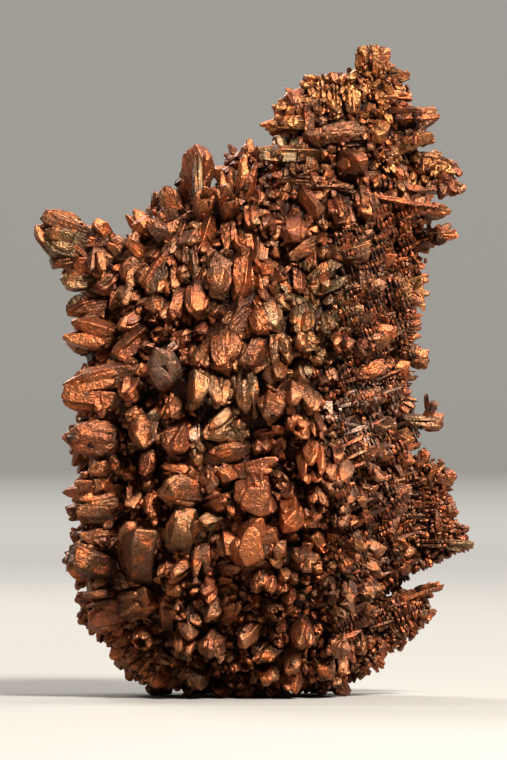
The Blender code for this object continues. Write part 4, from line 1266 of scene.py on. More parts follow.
@dataclass
class RightFlank(FrontPatch):
    """The rows of needles along the right side."""

    name: str = "right_flank"
    swell: float = 1.1
    small_swell: float = 1.0
    main: Rows = (
        (5.2, 15.6, 5.3, 14.7, 0.9), (6.9, 16.5, 6.7, 15.6, 0.9), (7, 17, 3.8, 17.9, 1),
        (3.9, 17.4, 3.9, 16.5, 0.9), (6.7, 19, 6.4, 18.2, 1), (6, 15, 8.2, 15.7, 0.7),
        (7.2, 16.9, 8.9, 17.4, 0.8), (6, 20.1, 8, 20.6, 0.7), (4.8, 23.6, 6.8, 24.6, 0.7),
        (5.6, 22.9, 7.6, 24.1, 0.7), (4.2, 25.5, 5.9, 26.1, 0.7), (6, 11, 7.6, 11.7, 0.7),
        (6.9, 12.9, 8.1, 12.3, 0.7), (7, 14.4, 8.2, 13.6, 0.8), (6.3, 18.4, 8.3, 18.7, 0.7),
        (4.4, 27.5, 7.4, 28.2, 1), (5.2, 24.9, 8.2, 26.2, 1), (6.2, 21.2, 8.6, 22.6, 1),
    )
    blocks: Rows = (
        (6, 22.8, 4.7, 22.5, 0.6), (5.1, 22.1, 6.2, 22.1, 0.6), (7, 17.2, 4.2, 18, 0.45),
        (7, 16.8, 4, 17.6, 0.45), (8.3, 17.6, 8.5, 17.2, 0.3), (7.1, 17, 8, 17.2, 0.45),
        (8.3, 15.8, 8.6, 15.6, 0.4), (8.8, 17.9, 9.4, 17.8, 0.3), (5.7, 16.3, 5.8, 15.6, 0.5),
    )
    knots: Spots = (
        (5.8, 18.5, 0.5), (4.7, 18.7, 0.6), (5.1, 20.3, 0.5), (6.2, 15.4, 0.5), (6.2, 14.9, 0.5),
        (6.9, 16.3, 0.6), (6.7, 15.8, 0.6), (7.5, 17.6, 0.6), (7.9, 17.5, 0.6), (4.4, 23.2, 1),
    )
    combs: CombRows = (
        (4.3, 25.6, 5.6, 26, -0.2, 0.5, 0.22, 0.2), (4.8, 23.7, 6.6, 24.6, -0.25, 0.45, 0.2, 0.2),
        (5.6, 23.2, 7.4, 24.2, -0.25, 0.45, 0.2, 0.2), (6, 22.5, 7.1, 21.6, 0.3, 0.4, 0.2, 0.2),
        (5.5, 20.4, 7.2, 20.9, -0.15, 0.5, 0.2, 0.2), (6.2, 19.9, 8.1, 20.6, -0.2, 0.5, 0.2, 0.2),
        (6.7, 19.5, 8, 19.4, 0.05, 0.5, 0.2, 0.18), (6, 18.4, 8.2, 18.6, -0.1, 0.5, 0.2, 0.2),
        (7, 15.3, 8.1, 16, -0.3, 0.6, 0.2, 0.2), (7.6, 16.3, 8.8, 16.9, -0.3, 0.6, 0.2, 0.2),
        (5.9, 14.9, 8, 15.5, -0.15, 0.4, 0.2, 0.2),
    )


@dataclass
class Crown(FrontPatch):
    """The spears and hanging crystals over the middle."""

    name: str = "crown"
    main: Rows = (
        (-3.7, 30.8, -3.7, 34.75, 1.7), (-5, 29.6, -5.6, 32.1, 1.2), (-5.4, 28.6, -6.6, 30, 1),
        (-6.6, 27.6, -7.9, 28.9, 1), (-1.5, 31.2, -1.85, 33.3, 1.1), (-0.6, 31.2, -0.15, 34, 1.1),
        (-3, 30.3, -3, 31.5, 1.4), (-1.6, 30.3, -1.5, 31.6, 1.4), (-4.3, 29.5, -4.4, 28.2, 0.9),
        (-2.7, 29.7, -2.8, 27.9, 1.1), (-1.6, 29.3, -1.6, 28, 0.9), (0.35, 28.6, 0.3, 27.1, 0.9),
        (-3.8, 28, -3.7, 26.4, 1), (0, 30.3, 0, 29.4, 1), (0.9, 29.7, 0.9, 29, 1),
        (2.5, 29.5, 2.6, 28.6, 1.3), (3.5, 28.3, 2, 27.7, 1), (1.5, 32.5, 4.3, 33.3, 0.9),
        (2.3, 32.2, 6, 31.8, 1.1), (3.2, 31.3, 4.3, 30.2, 1), (4.9, 26.9, 3.3, 26.1, 1),
        (5.2, 30.9, 5.6, 29.9, 1), (6.9, 31.4, 7.2, 30.2, 1), (5.8, 33.7, 7, 33.2, 1.2),
    )
    blocks: Rows = (
        (-4.9, 32.2, -4.3, 32.5, 0.4), (-6.4, 29.2, -6.5, 30, 0.8), (-7, 28.6, -7.8, 28.9, 0.8),
        (-5.3, 28.8, -5.5, 29.4, 0.7), (-0.9, 31.4, -0.3, 32.4, 0.5), (-4, 30.2, -0.4, 30, 0.5),
        (-3.2, 29.5, -3.4, 28.7, 0.5), (-1, 29, -1, 28, 0.8), (-0.25, 29.1, -0.3, 27.8, 0.6),
        (1.35, 28.6, 1.4, 27.5, 0.85), (-2.8, 27.6, -2.8, 26.8, 0.8), (-5, 26.9, -4.8, 25.4, 0.9),
        (0.4, 31.8, 0.4, 30.8, 0.7), (0.8, 31.8, 2.3, 31.2, 0.7), (0.1, 30.5, 1.5, 30, 0.35),
        (0.5, 29.9, 2.1, 29.6, 0.35), (2.1, 29.8, 1.5, 29.2, 0.5), (3.7, 28.1, 3.6, 26.8, 0.8),
        (5, 30.9, 5.1, 30.2, 0.4), (6, 30.8, 6.1, 29.6, 0.6), (6.7, 31, 7, 30.6, 0.4),
        (7.4, 30.8, 7.4, 30.1, 0.55), (8.5, 31.2, 8.5, 30.5, 0.45), (6.6, 32.8, 8, 32.5, 0.6),
        (8, 32.5, 10.8, 31.6, 0.6), (4.8, 28.8, 5.4, 29.6, 0.35), (5.4, 29.6, 6, 29.2, 0.35),
    )
    ribbed: Rows = (
        (1.5, 32.5, 4, 33.3, 0.7), (2.5, 32.5, 5.8, 32.3, 0.45), (2.4, 32.1, 5.7, 31.9, 0.45),
        (2.4, 31.7, 5.6, 31.5, 0.45), (-3.95, 31, -3.9, 34.3, 0.55), (-3.5, 31, -3.55, 34.3, 0.55),
    )
    hollows: Rows = (
        (6.5, 33.7, 6.5, 32.8, 1.2),
    )
    knots: Spots = (
        (-4.6, 31.5, 0.5), (-4.7, 30.6, 0.5), (-4.6, 29.9, 0.4), (-5.9, 28.5, 0.6), (-2.7, 31.7, 0.6),
        (-1, 33, 0.5), (-3.4, 26.5, 0.6), (-0.2, 30.5, 0.9), (0, 29.7, 1), (0.9, 29.3, 1), (3.5, 29.5, 0.5),
        (4.3, 28.8, 0.6), (4.2, 27.9, 0.5), (0.9, 27.3, 0.5), (4.5, 33.1, 0.8), (5.4, 33.3, 0.55),
        (4.9, 33.8, 0.6), (5.5, 30.9, 0.45), (5.6, 30.2, 0.5), (6.5, 31.5, 0.45), (7, 31.4, 0.5),
        (8, 30.3, 0.4), (6.5, 29.3, 0.5), (7.3, 29, 0.5), (8.1, 28.9, 0.5), (5.9, 26.2, 0.5),
    )


@dataclass
class Tower(FrontPatch):
    """The tall growth at the upper right."""

    name: str = "tower"
    swell: float = 1.02
    small_swell: float = 1.0
    main: Rows = (
        (7.1, 39.2, 6.9, 40.9, 1.1), (7.9, 38.6, 7.7, 41, 1.1), (7.2, 39.5, 6, 39.1, 0.9),
        (8.2, 38.7, 9.9, 39.1, 0.9), (8, 37.6, 10, 37.7, 0.9), (8.2, 36.5, 11.6, 36.5, 1.2),
        (9, 34.4, 11.2, 35.4, 1.2), (10.3, 33.7, 12.9, 32.9, 1), (11, 32, 13.45, 32.1, 1.1),
        (9, 30.6, 12.5, 30.5, 0.9), (9.6, 29, 12.85, 29, 1), (3.6, 37.3, 1.3, 36.9, 0.9),
        (3.4, 36, 0.35, 36, 1.2), (3, 37.6, 2.4, 35.2, 1), (3.6, 38.2, 3.4, 35.5, 1.1),
        (4.5, 38.3, 4.3, 36.6, 0.9), (5.4, 38.4, 5.3, 37, 0.9), (6.1, 38.2, 6.2, 36.4, 1.1),
        (7.1, 38.3, 7.1, 37.2, 0.9), (8.2, 37.6, 8.3, 36.1, 0.9), (7.2, 35.2, 3, 35.1, 1.7),
        (4, 34, 0.2, 34.1, 1.3), (8, 35.7, 8, 34.8, 1.4), (8.4, 34.3, 8.5, 33.4, 0.9),
    )
    blocks: Rows = (
        (7.65, 39.4, 7.65, 40.4, 0.85), (9.1, 38.7, 9.8, 39, 0.5), (8.3, 39.5, 9.4, 39.2, 0.4),
        (8.7, 37.6, 10, 37.6, 0.65), (8.8, 36.3, 9.8, 36.3, 0.4), (8.8, 35.6, 9.7, 35.5, 0.4),
        (10.4, 34.6, 11.2, 35.4, 1), (10.5, 34, 10.5, 32.7, 1), (10.8, 33.3, 12, 33.6, 0.5),
        (10.3, 34, 11.8, 33.8, 0.6), (11.8, 33.8, 12.5, 33.4, 0.5), (12.5, 33.4, 13.1, 32.7, 0.5),
        (11.3, 30.5, 12.4, 30.4, 0.5), (11.2, 29, 12.85, 29, 0.9), (2.5, 37.1, 1.3, 36.9, 0.5),
        (2.1, 36.8, 2.45, 35.1, 0.85), (3.3, 37, 3.5, 35.4, 0.95), (4.2, 37.2, 4.3, 36.4, 0.5),
        (5.2, 37.9, 5.3, 37, 0.55), (6.1, 37.7, 6.2, 36.4, 0.85), (4.8, 37, 5.4, 36.2, 0.5),
        (8.1, 37.4, 8.1, 36.3, 0.4), (8.5, 37.3, 8.5, 36.1, 0.35), (2.2, 34.9, 1.2, 35.1, 0.6),
        (7.8, 34.4, 6.5, 34.3, 0.6),
    )
    ribbed: Rows = (
        (7.2, 35.6, 3.9, 35.6, 0.6), (7.2, 35.1, 3.4, 35.1, 0.7), (7, 34.7, 3.8, 34.6, 0.5),
        (3, 34.3, 0.4, 34.3, 0.5), (3, 33.8, 0.4, 33.9, 0.5),
    )
    combs: CombRows = (
        (3.3, 38.3, 6.7, 37.8, 0.06, -0.75, 0.32, 0.36), (7.7, 32.5, 10.9, 31.6, 0.1, -0.5, 0.32, 0.36),
        (6.0, 31.6, 11.6, 30.7, 0.04, -0.62, 0.44, 0.44), (6.0, 30.7, 11.2, 29.7, 0.04, -0.6, 0.44, 0.42),
        (7.2, 39.1, 9.8, 38.1, 0.1, -0.4, 0.4, 0.4),
    )
    knots: Spots = (
        (6.8, 40.6, 0.7), (8.3, 40.2, 0.4), (9, 38.5, 0.5), (9.4, 38.2, 0.4), (10.2, 35.3, 0.5),
        (11.4, 34.1, 0.6), (9.6, 33.6, 0.5), (11.9, 30.6, 0.7), (11.6, 29.4, 0.5), (6.9, 37.6, 0.6),
        (7.4, 37.8, 0.5), (7.6, 35.3, 0.7), (8.6, 35.3, 0.6), (8.1, 34.7, 0.6), (8.4, 34, 0.7),
        (8.7, 33.5, 0.5), (1.2, 33.1, 0.8), (1.3, 37, 0.4), (1.8, 37.4, 0.4), (2.3, 37.7, 0.4),
        (2.8, 38.1, 0.4), (3.3, 38.4, 0.35), (3.9, 38.5, 0.35), (4.5, 38.5, 0.35), (5.3, 38.5, 0.35),
        (5.9, 38.3, 0.35), (6.5, 38.1, 0.35), (6.9, 38.4, 0.4),
    )


@dataclass
class RightEdge(FrontPatch):
    """The thin crystals that stand out from the right edge."""

    name: str = "right_edge"
    swell: float = 1.1
    small_swell: float = 1.0
    fallback: float = 0.6
    main: Rows = (
        (9.2, 30.8, 9.6, 29.2, 1), (9.6, 27.2, 10.8, 24.2, 1.1), (9.3, 24.3, 9.6, 22.2, 0.9),
        (8.4, 21.3, 11.15, 21.6, 1), (9.4, 28.4, 11.1, 28, 0.8), (8.2, 19.9, 10.4, 20.1, 0.8),
        (8.2, 18.6, 10.3, 18.5, 0.8), (9.4, 17.4, 12, 17.2, 0.9), (10.8, 17.4, 11.4, 18.6, 0.6),
        (8.6, 16.2, 10.4, 15.7, 0.6),
    )
    blocks: Rows = (
        (9.3, 30, 9.8, 29.2, 0.8), (9.3, 18.7, 10.3, 18.5, 0.3), (10.9, 18, 10.9, 19, 0.4),
        (11.4, 18, 11.4, 18.5, 0.4), (9, 16.1, 10.4, 15.6, 0.35), (10.3, 28.2, 11.1, 28, 0.5),
        (10, 27.2, 10.8, 27, 0.5), (10.2, 25.4, 11.1, 25.3, 0.5),
    )
    knots: Spots = (
        (9.4, 30.6, 0.6), (9.2, 29.1, 0.5), (8.8, 29, 0.6), (9.7, 28.6, 0.5), (10, 28.6, 0.4),
        (10.4, 28.5, 0.4), (10.7, 29.9, 0.5), (8.9, 25.9, 0.4), (10.1, 26.9, 0.35), (10.3, 27.3, 0.35),
        (10.8, 27.4, 0.4), (10.4, 20.8, 0.4),
    )
    combs: CombRows = (
        (9.5, 23.9, 9.6, 22.3, 0.6, -0.1, 0.2, 0.2),
    )


@dataclass
class CombPlates(FrontPatch):
    """The thin toothed plates at the right."""

    name: str = "comb_plates"
    swell: float = 0.95
    small_swell: float = 1.0
    fallback: float = 1.4
    main: Rows = (
        (9.8, 13.7, 11.2, 13.6, 1), (11.65, 9.9, 11.65, 13, 0.9), (11.5, 13.8, 12.7, 13.5, 1),
        (11.2, 13.4, 11.8, 14.7, 1), (11.6, 11.9, 12.9, 11.4, 1), (12, 10.7, 13.6, 10.4, 0.8),
        (12.2, 9.6, 13.95, 9.5, 1), (10.4, 14.4, 10.8, 15.6, 0.8), (9.2, 9.7, 10, 9.5, 1),
        (10.2, 12.7, 11.1, 12.7, 0.6), (10.2, 12, 11.1, 12, 0.6), (10.2, 11.3, 11.1, 11.2, 0.6),
        (10.2, 10.4, 11.1, 10.4, 0.7), (8, 12.05, 9.1, 12, 0.7), (7.8, 10.6, 9, 10.1, 0.8),
    )
    blocks: Rows = (
        (9.2, 15.2, 9.8, 15.1, 0.3), (9.9, 14.2, 9.9, 13.5, 0.5), (11.3, 14.9, 11.2, 14.2, 0.4),
        (12, 14.2, 12.7, 13.5, 0.8), (12.2, 13.2, 11.8, 13.1, 0.5), (9.5, 11.6, 9.4, 10.8, 0.35),
        (9.3, 12.8, 9.3, 11.8, 0.35), (13, 10.6, 13.6, 10.4, 0.5), (9.7, 9.5, 9.5, 9.4, 0.8),
        (8.1, 14.1, 8.9, 14, 0.35), (8.6, 13.6, 9.2, 13.5, 0.3), (8.6, 13.3, 9.2, 13.2, 0.25),
        (7.9, 13, 8.4, 12.9, 0.3), (8.8, 12.7, 9.1, 12.7, 0.3), (8, 12.05, 9.1, 12, 0.45),
        (7.8, 10.7, 9, 10.2, 0.35), (7.8, 10.4, 9, 9.9, 0.35), (7.1, 9.8, 7.9, 9.55, 0.4),
    )
    knots: Spots = (
        (10.2, 15, 0.35), (10.7, 15.3, 0.5), (10, 14.7, 0.5), (11, 14.4, 0.4), (11.8, 14.6, 0.6),
        (9.7, 12.8, 0.6), (12.4, 11.8, 0.8), (12.2, 11.1, 0.5), (12.2, 10.4, 0.6), (12.5, 10, 0.6),
    )
    combs: CombRows = (
        (10.7, 10.9, 10.7, 13.2, 0.45, 0.03, 0.3, 0.24), (10.5, 9.7, 12.8, 9.7, 0, 0.14, 0.27, 0.25),
        (10.6, 9.4, 12.2, 9.4, 0, -0.12, 0.27, 0.25), (11.65, 10, 11.65, 13, 0.22, 0, 0.3, 0.3),
    )


@dataclass
class LowerBlade(FrontPatch):
    """The blade at the lower right."""

    name: str = "lower_blade"
    swell: float = 1.0
    small_swell: float = 1.0
    fallback: float = 0.8
    main: Rows = (
        (7.4, 5.2, 11.9, 6.95, 1), (9.6, 5.2, 10.8, 5.7, 0.9), (10.2, 5, 11.6, 5.2, 0.9),
        (9.2, 5, 10.4, 4, 0.9), (8.6, 4.6, 9.8, 3.4, 0.9), (8, 4, 9, 2.7, 0.9), (7.2, 3.6, 7.9, 2.3, 1.3),
    )
    blocks: Rows = (
        (10.2, 6.6, 11.9, 6.9, 0.6), (9, 5.2, 9.4, 5.1, 0.5), (8.8, 3.3, 8.9, 2.9, 0.5),
        (8.3, 3.8, 8.6, 3.4, 0.3),
    )
    needles: Rows = (
        (8.6, 5.9, 9.7, 6.3, 0.4), (9, 5.7, 10.4, 6.4, 0.35), (9.6, 4.9, 10.1, 4.3, 0.3),
        (9.75, 4.95, 10.25, 4.4, 0.3), (9.2, 4.4, 9.6, 3.8, 0.35), (9.4, 4.5, 9.8, 3.9, 0.35),
    )
    knots: Spots = (
        (10.2, 5.4, 0.8), (10.5, 4.7, 0.5), (8.4, 4.8, 0.5), (10.4, 4.3, 0.4), (10.1, 3.9, 0.4),
        (9.9, 3.6, 0.4), (9.4, 3.2, 0.4), (7.9, 4.2, 0.5), (7.9, 3.2, 1.1),
    )


@dataclass
class FlankCombs(FrontPatch):
    """Rows of needles that fill the right side, rising to the right, between the listed ones."""

    name: str = "flank_combs"
    left: float = 5.2
    right: float = 9.6
    lowest: float = 3.6
    highest: float = 30.5
    deepest: float = 4.0
    row_gap: float = 0.8
    slope: float = 0.36
    waver: float = 0.12
    start: tuple[float, float] = (-0.4, 0.6)
    comb_length: tuple[float, float] = (0.8, 1.9)
    comb_gap: tuple[float, float] = (0.15, 0.5)
    tooth: float = 0.5
    spacing: float = 0.24
    width: float = 0.25
    lift: float = 0.22

    def crystals(self, ground: Ground, draw: np.random.Generator) -> list[Crystal]:
        """The rows of needles, each broken into short combs.

        Args:
            ground: what they lie on.
            draw: the source of chance.

        Returns:
            The needles and their spines.
        """
        made: list[Crystal] = []
        tooth_x, tooth_z = -self.slope * self.tooth, self.tooth
        for level in np.arange(self.lowest, self.highest, self.row_gap):
            across = self.left + draw.uniform(*self.start)
            while across < self.right:
                length = draw.uniform(*self.comb_length)
                start_z = level + (across - self.left) * self.slope + draw.uniform(-self.waver, self.waver)
                rise = self.slope + draw.uniform(-self.waver, self.waver)
                end_x, end_z = across + length, start_z + length * rise
                middle = ground.relief.at((across + end_x) / 2, (start_z + end_z) / 2)
                if max(middle, ground.relief.at(end_x, end_z)) < self.deepest:
                    row = (across, start_z, end_x, end_z, tooth_x, tooth_z, self.spacing, self.width)
                    made += self.teeth(row, ground, draw)
                across = end_x + draw.uniform(*self.comb_gap)
        return made


@dataclass
class Fillers:
    """The smaller crystals that crowd every gap between the listed ones, and cover sides and back."""

    name: str
    front: bool
    side: int = 0

    # Widths in mm on the front: right of this, between these heights, width. The first row that fits holds
    FRONT_WIDTHS = (
        (9.6, 8.0, 16.0, 0.45), (5.0, -math.inf, 31.0, 0.5), (-math.inf, 33.0, math.inf, 0.65),
        (-math.inf, 30.0, math.inf, 0.9), (2.0, -math.inf, math.inf, 0.9),
        (-math.inf, -math.inf, math.inf, 1.4),
    )
    # Widths in mm elsewhere: on the plates at the right, on the tower and the arm, and on the body
    PLATES_LEFT = 9.5
    PLATES_TOP = 16.0
    PLATES_WIDTH = 0.6
    TOWER_FOOT = 33.0
    ARM_RIGHT = -9.0
    LIMB_WIDTH = 1.15
    BODY_LEFT = -10.0
    BODY_WIDTH = 1.45
    BODY_NARROWING = 0.01
    # How much widths differ, how far apart crystals are, how deep they sit and how far they stand out,
    # all in shares of the width
    WIDTH_SHARES = (0.82, 1.18)
    FRONT_SPACING = 0.66
    BACK_SPACING = 0.76
    ROOT_DEPTH = 0.9
    BACK_RISES = (0.5, 0.8)
    FRONT_RISE = 0.5
    FINE_RISE = 0.15
    RISE_SPREAD = 0.15
    # What counts as the front: it faces the viewer by this much, and lies no deeper
    FRONT_FACING = -0.3
    FRONT_DEPTH = 1.5
    # The notch under the arm, which stays open: left of this, between these heights, and no deeper
    NOTCH_RIGHT = -9.3
    NOTCH_HEIGHTS = (20.4, 21.8)
    NOTCH_DEPTH = 2.5
    FLOOR_GAP = 0.4
    # How crystals lean: by chance, down on the upper front, up or down with the height behind
    SPREAD = 0.22
    HANGING_FROM = 17.0
    HANGING = -0.75
    MIDDLE_HEIGHT = 18.0
    HEIGHT_PER_LEAN = 45.0
    HABITS = (
        Habit.BULLET, Habit.BLOCK, Habit.KNOT, Habit.RIBBED, Habit.FORKED, Habit.BULLET, Habit.HOLLOW,
    )
    FEW_HABITS = 3
    FINE_WIDTH = 0.6

    def width_at(self, place: np.ndarray) -> float:
        """The usual width in mm of a crystal at a place.

        Args:
            place: the place in mm.

        Returns:
            The width.
        """
        across, _, height = place
        if self.front:
            return next(
                width for left, low, high, width in self.FRONT_WIDTHS if across > left and low < height < high
            )
        if across > self.PLATES_LEFT and height < self.PLATES_TOP:
            return self.PLATES_WIDTH
        if height > self.TOWER_FOOT or across < self.ARM_RIGHT:
            return self.LIMB_WIDTH
        return self.BODY_WIDTH - self.BODY_NARROWING * (across - self.BODY_LEFT)

    def covers(self, place: np.ndarray, normal: np.ndarray) -> bool:
        """Whether a place belongs to this piece.

        Args:
            place: the place in mm.
            normal: the way outward there.

        Returns:
            True where it does, and False also at the floor and in the notch.
        """
        across, depth, height = place
        low, high = self.NOTCH_HEIGHTS
        if across < self.NOTCH_RIGHT and low < height < high and depth < self.NOTCH_DEPTH:
            return False
        if height < self.FLOOR_GAP:
            return False
        front = normal[1] < self.FRONT_FACING and depth < self.FRONT_DEPTH
        return front if self.front else not front and (across < 0.0) == (self.side < 0)

    def way_out(self, place: np.ndarray, normal: np.ndarray, draw: np.random.Generator) -> np.ndarray:
        """The way that a crystal points.

        Args:
            place: its place in mm.
            normal: the way outward there.
            draw: the source of chance.

        Returns:
            A unit vector.
        """
        out = normal + draw.normal(size=3) * self.SPREAD
        height = place[2]
        if self.front and height > self.HANGING_FROM:
            out[2] += self.HANGING
        if not self.front:
            out[2] += (height - self.MIDDLE_HEIGHT) / self.HEIGHT_PER_LEAN
        return unit(out)

    def crystals(self, ground: Ground, draw: np.random.Generator) -> list[Crystal]:
        """Crystals on every free place, each keeping its distance from the others.

        Args:
            ground: what they grow from.
            draw: the source of chance.

        Returns:
            The crystals.
        """
        made: list[Crystal] = []
        spacing = self.FRONT_SPACING if self.front else self.BACK_SPACING
        for number in draw.permutation(len(ground.points)):
            place, normal = ground.points[number], ground.normals[number]
            if ground.taken[number] or not self.covers(place, normal):
                continue
            width = self.width_at(place) * draw.uniform(*self.WIDTH_SHARES)
            for _, other, _ in ground.near.find_range(place, width * spacing):
                ground.taken[other] = True
            out = self.way_out(place, normal, draw)
            if self.front:
                rise = self.FRONT_RISE if width > self.FINE_WIDTH else self.FINE_RISE
                rise += draw.uniform(-self.RISE_SPREAD, self.RISE_SPREAD)
            else:
                rise = draw.uniform(*self.BACK_RISES)
            root, tip = place - out * width * self.ROOT_DEPTH, place + out * rise * width
            count = self.FEW_HABITS if width < self.FINE_WIDTH else len(self.HABITS)
            habit = self.HABITS[draw.integers(count)]
            patina = stain_shade_and_light_at(place[0], place[2], draw, self.front)
            made.append(Crystal(tuple(root), tuple(tip), width, habit, patina, tuple(normal)))
        return made

    def build(self, ground: Ground, draw: np.random.Generator) -> bpy.types.Object:
        """Meshes the fillers as one joined piece.

        Args:
            ground: what they grow from.
            draw: the source of chance.

        Returns:
            The piece.
        """
        skin = Skin()
        skin.grow(self.crystals(ground, draw), draw)
        return skin.to_object(self.name)


@dataclass
class Core:
    """The solid copper under the crystals, painted almost as dark as the shade in the gaps between them."""

    name: str = "core"
    cell: float = 0.4
    inset: float = 0.3
    roughness: float = 0.1
    lump: float = 0.7
    darkness: tuple[float, float] = (0.3, 1.0)
    core_shade_clearing: float = 0.1

    def build(self, solid: bpy.types.Object, draw: np.random.Generator) -> bpy.types.Object:
        """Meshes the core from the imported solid, drawn in a little and roughened.

        Args:
            solid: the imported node.
            draw: the source of chance.

        Returns:
            The piece.
        """
        mesh = remeshed(solid, self.cell)
        points = np.array([vert.co[:] for vert in mesh.vertices]) / MM
        normals = smoothed_normals(mesh, 1)
        lumps = np.array([noise.noise(Vector(point) / self.lump) for point in points])
        points += normals * (-self.inset + self.roughness * lumps)[:, None]
        mesh.calc_loop_triangles()
        corners = np.empty(len(mesh.loop_triangles) * 3, np.int32)
        mesh.loop_triangles.foreach_get("vertices", corners)
        bpy.data.meshes.remove(mesh)
        # Painted shade: the core takes the dark skin, and its low alpha makes the material paint it almost the
        # gap colour.
        colour = Patina.DARK_AND_SHADE.value.pick(draw.uniform(*self.darkness, len(points)))
        colours = np.concatenate([colour, np.full((len(points), 1), self.core_shade_clearing)], 1)
        skin = Skin([points], [corners.reshape(-1, 3)], [colours], [np.zeros(len(points))], [points])
        return skin.to_object(self.name)


def add_node(
    tree: bpy.types.NodeTree, kind: str, settings: dict[str, object] | None = None,
    links: dict[str | int, bpy.types.NodeSocket] | None = None, values: dict[str | int, object] | None = None,
) -> bpy.types.Node:
    """Adds one node.

    Args:
        tree: the node tree.
        kind: the node's type.
        settings: its properties.
        links: for each input, the output that feeds it.
        values: for each input, its own value.

    Returns:
        The node.
    """
    node = tree.nodes.new(kind)
    for name, value in (settings or {}).items():
        setattr(node, name, value)
    for name, value in (values or {}).items():
        node.inputs[name].default_value = value
    for name, source in (links or {}).items():
        tree.links.new(source, node.inputs[name])
    return node


@dataclass(frozen=True)
class OxidisedCopper:
    """Native copper as grown, with a thin skin of red and brown oxide, rubbed bright on edges.

    The skin dulls the metal to a satin brown. What shows to the eye is warm glints on worn edges,
    faces that are pitted and finely ribbed along the crystal, and almost black gaps.
    """

    name: str = "oxidised_native_copper"
    bright: str = "d48a56"
    rust: str = "a8532b"
    dust: str = "64564a"
    dirt: str = "9e8e86"
    # The colour of the painted shade in the gaps and at the roots
    gap: str = "22120c"
    metallic: float = 0.9
    roughness_low: float = 0.32
    roughness_high: float = 0.62
    # Real sizes in mm, and how far the painted shade of the gaps reaches
    mottle: float = 0.4
    field: float = 1.1
    pit: float = 0.17
    rib: float = 0.2
    chip: float = 0.42
    gap_shade_reach: float = 1.4

    def build(self) -> bpy.types.Material:
        """Makes the material.

        Returns:
            The material.
        """
        material = bpy.data.materials.new(self.name)
        material.use_nodes = True
        tree = material.node_tree
        shader = tree.nodes["Principled BSDF"]
        patina = add_node(tree, "ShaderNodeAttribute", {"attribute_name": "patina"})
        wear = add_node(tree, "ShaderNodeAttribute", {"attribute_name": "wear"})
        grain = add_node(tree, "ShaderNodeAttribute", {"attribute_name": "grain"})
        # Mottling of the skin, in patches of about half a millimetre
        mottle = add_node(
            tree, "ShaderNodeTexNoise", links={"Vector": grain.outputs["Vector"]},
            values={"Scale": 1.0 / self.mottle, "Detail": 4.0, "Roughness": 0.65},
        )
        # Pits of about a tenth of a millimetre
        pits = add_node(
            tree, "ShaderNodeTexNoise", links={"Vector": grain.outputs["Vector"]},
            values={"Scale": 1.0 / self.pit, "Detail": 2.0, "Roughness": 0.6},
        )
        # Growth ribs, which run along the crystal
        along = add_node(
            tree, "ShaderNodeMapping", links={"Vector": grain.outputs["Vector"]},
            values={"Scale": (1.0 / self.rib, 1.0 / self.rib, 0.12 / self.rib)},
        )
        ribs = add_node(
            tree, "ShaderNodeTexNoise", links={"Vector": along.outputs["Vector"]},
            values={"Scale": 1.0, "Detail": 1.0, "Roughness": 0.5},
        )
        # Small flat chips
        chips = add_node(
            tree, "ShaderNodeTexVoronoi", {"feature": "F1"}, {"Vector": grain.outputs["Vector"]},
            {"Scale": 1.0 / self.chip},
        )
        dark_share = add_node(
            tree, "ShaderNodeMapRange", links={"Value": mottle.outputs["Fac"]},
            values={"From Min": 0.42, "From Max": 0.66, "To Min": 0.0, "To Max": 0.62},
        )
        dulled = add_node(
            tree, "ShaderNodeMix", {"data_type": "RGBA", "blend_type": "MULTIPLY"},
            {0: dark_share.outputs["Result"], 6: patina.outputs["Color"]}, {7: (*linear(self.dirt), 1.0)},
        )
        # The skin isn't even within a crystal: rust-red and dusty grey places of about a millimetre
        field = add_node(
            tree, "ShaderNodeTexNoise", links={"Vector": grain.outputs["Vector"]},
            values={"Scale": 1.0 / self.field, "Detail": 5.0, "Roughness": 0.7},
        )
        rust_share = add_node(
            tree, "ShaderNodeMapRange", links={"Value": field.outputs["Fac"]},
            values={"From Min": 0.52, "From Max": 0.64, "To Min": 0.0, "To Max": 0.8},
        )
        rusty = add_node(
            tree, "ShaderNodeMix", {"data_type": "RGBA"},
            {0: rust_share.outputs["Result"], 6: dulled.outputs[2]}, {7: (*linear(self.rust), 1.0)},
        )
        dust_share = add_node(
            tree, "ShaderNodeMapRange", links={"Value": field.outputs["Fac"]},
            values={"From Min": 0.46, "From Max": 0.34, "To Min": 0.0, "To Max": 0.55},
        )
        dusty = add_node(
            tree, "ShaderNodeMix", {"data_type": "RGBA"},
            {0: dust_share.outputs["Result"], 6: rusty.outputs[2]}, {7: (*linear(self.dust), 1.0)},
        )
        # Grains a little lighter and darker than their neighbours, as the pits catch dirt
        speck = add_node(
            tree, "ShaderNodeMapRange", links={"Value": pits.outputs["Fac"]},
            values={"From Min": 0.3, "From Max": 0.7, "To Min": 0.55, "To Max": 1.4},
        )
        grainy = add_node(
            tree, "ShaderNodeVectorMath", {"operation": "SCALE"},
            {0: dusty.outputs[2], "Scale": speck.outputs["Result"]},
        )
        # Painted shade: each crystal's root is painted as dark as the gaps, and clears towards its middle
        root_shade_share = add_node(
            tree, "ShaderNodeMapRange", {"interpolation_type": "SMOOTHSTEP"},
            {"Value": patina.outputs["Alpha"]},
            {"From Min": 0.1, "From Max": 0.5, "To Min": 0.8, "To Max": 0.0},
        )
        shaded = add_node(
            tree, "ShaderNodeMix", {"data_type": "RGBA"},
            {0: root_shade_share.outputs["Result"], 6: grainy.outputs[0]}, {7: (*linear(self.gap), 1.0)},
        )
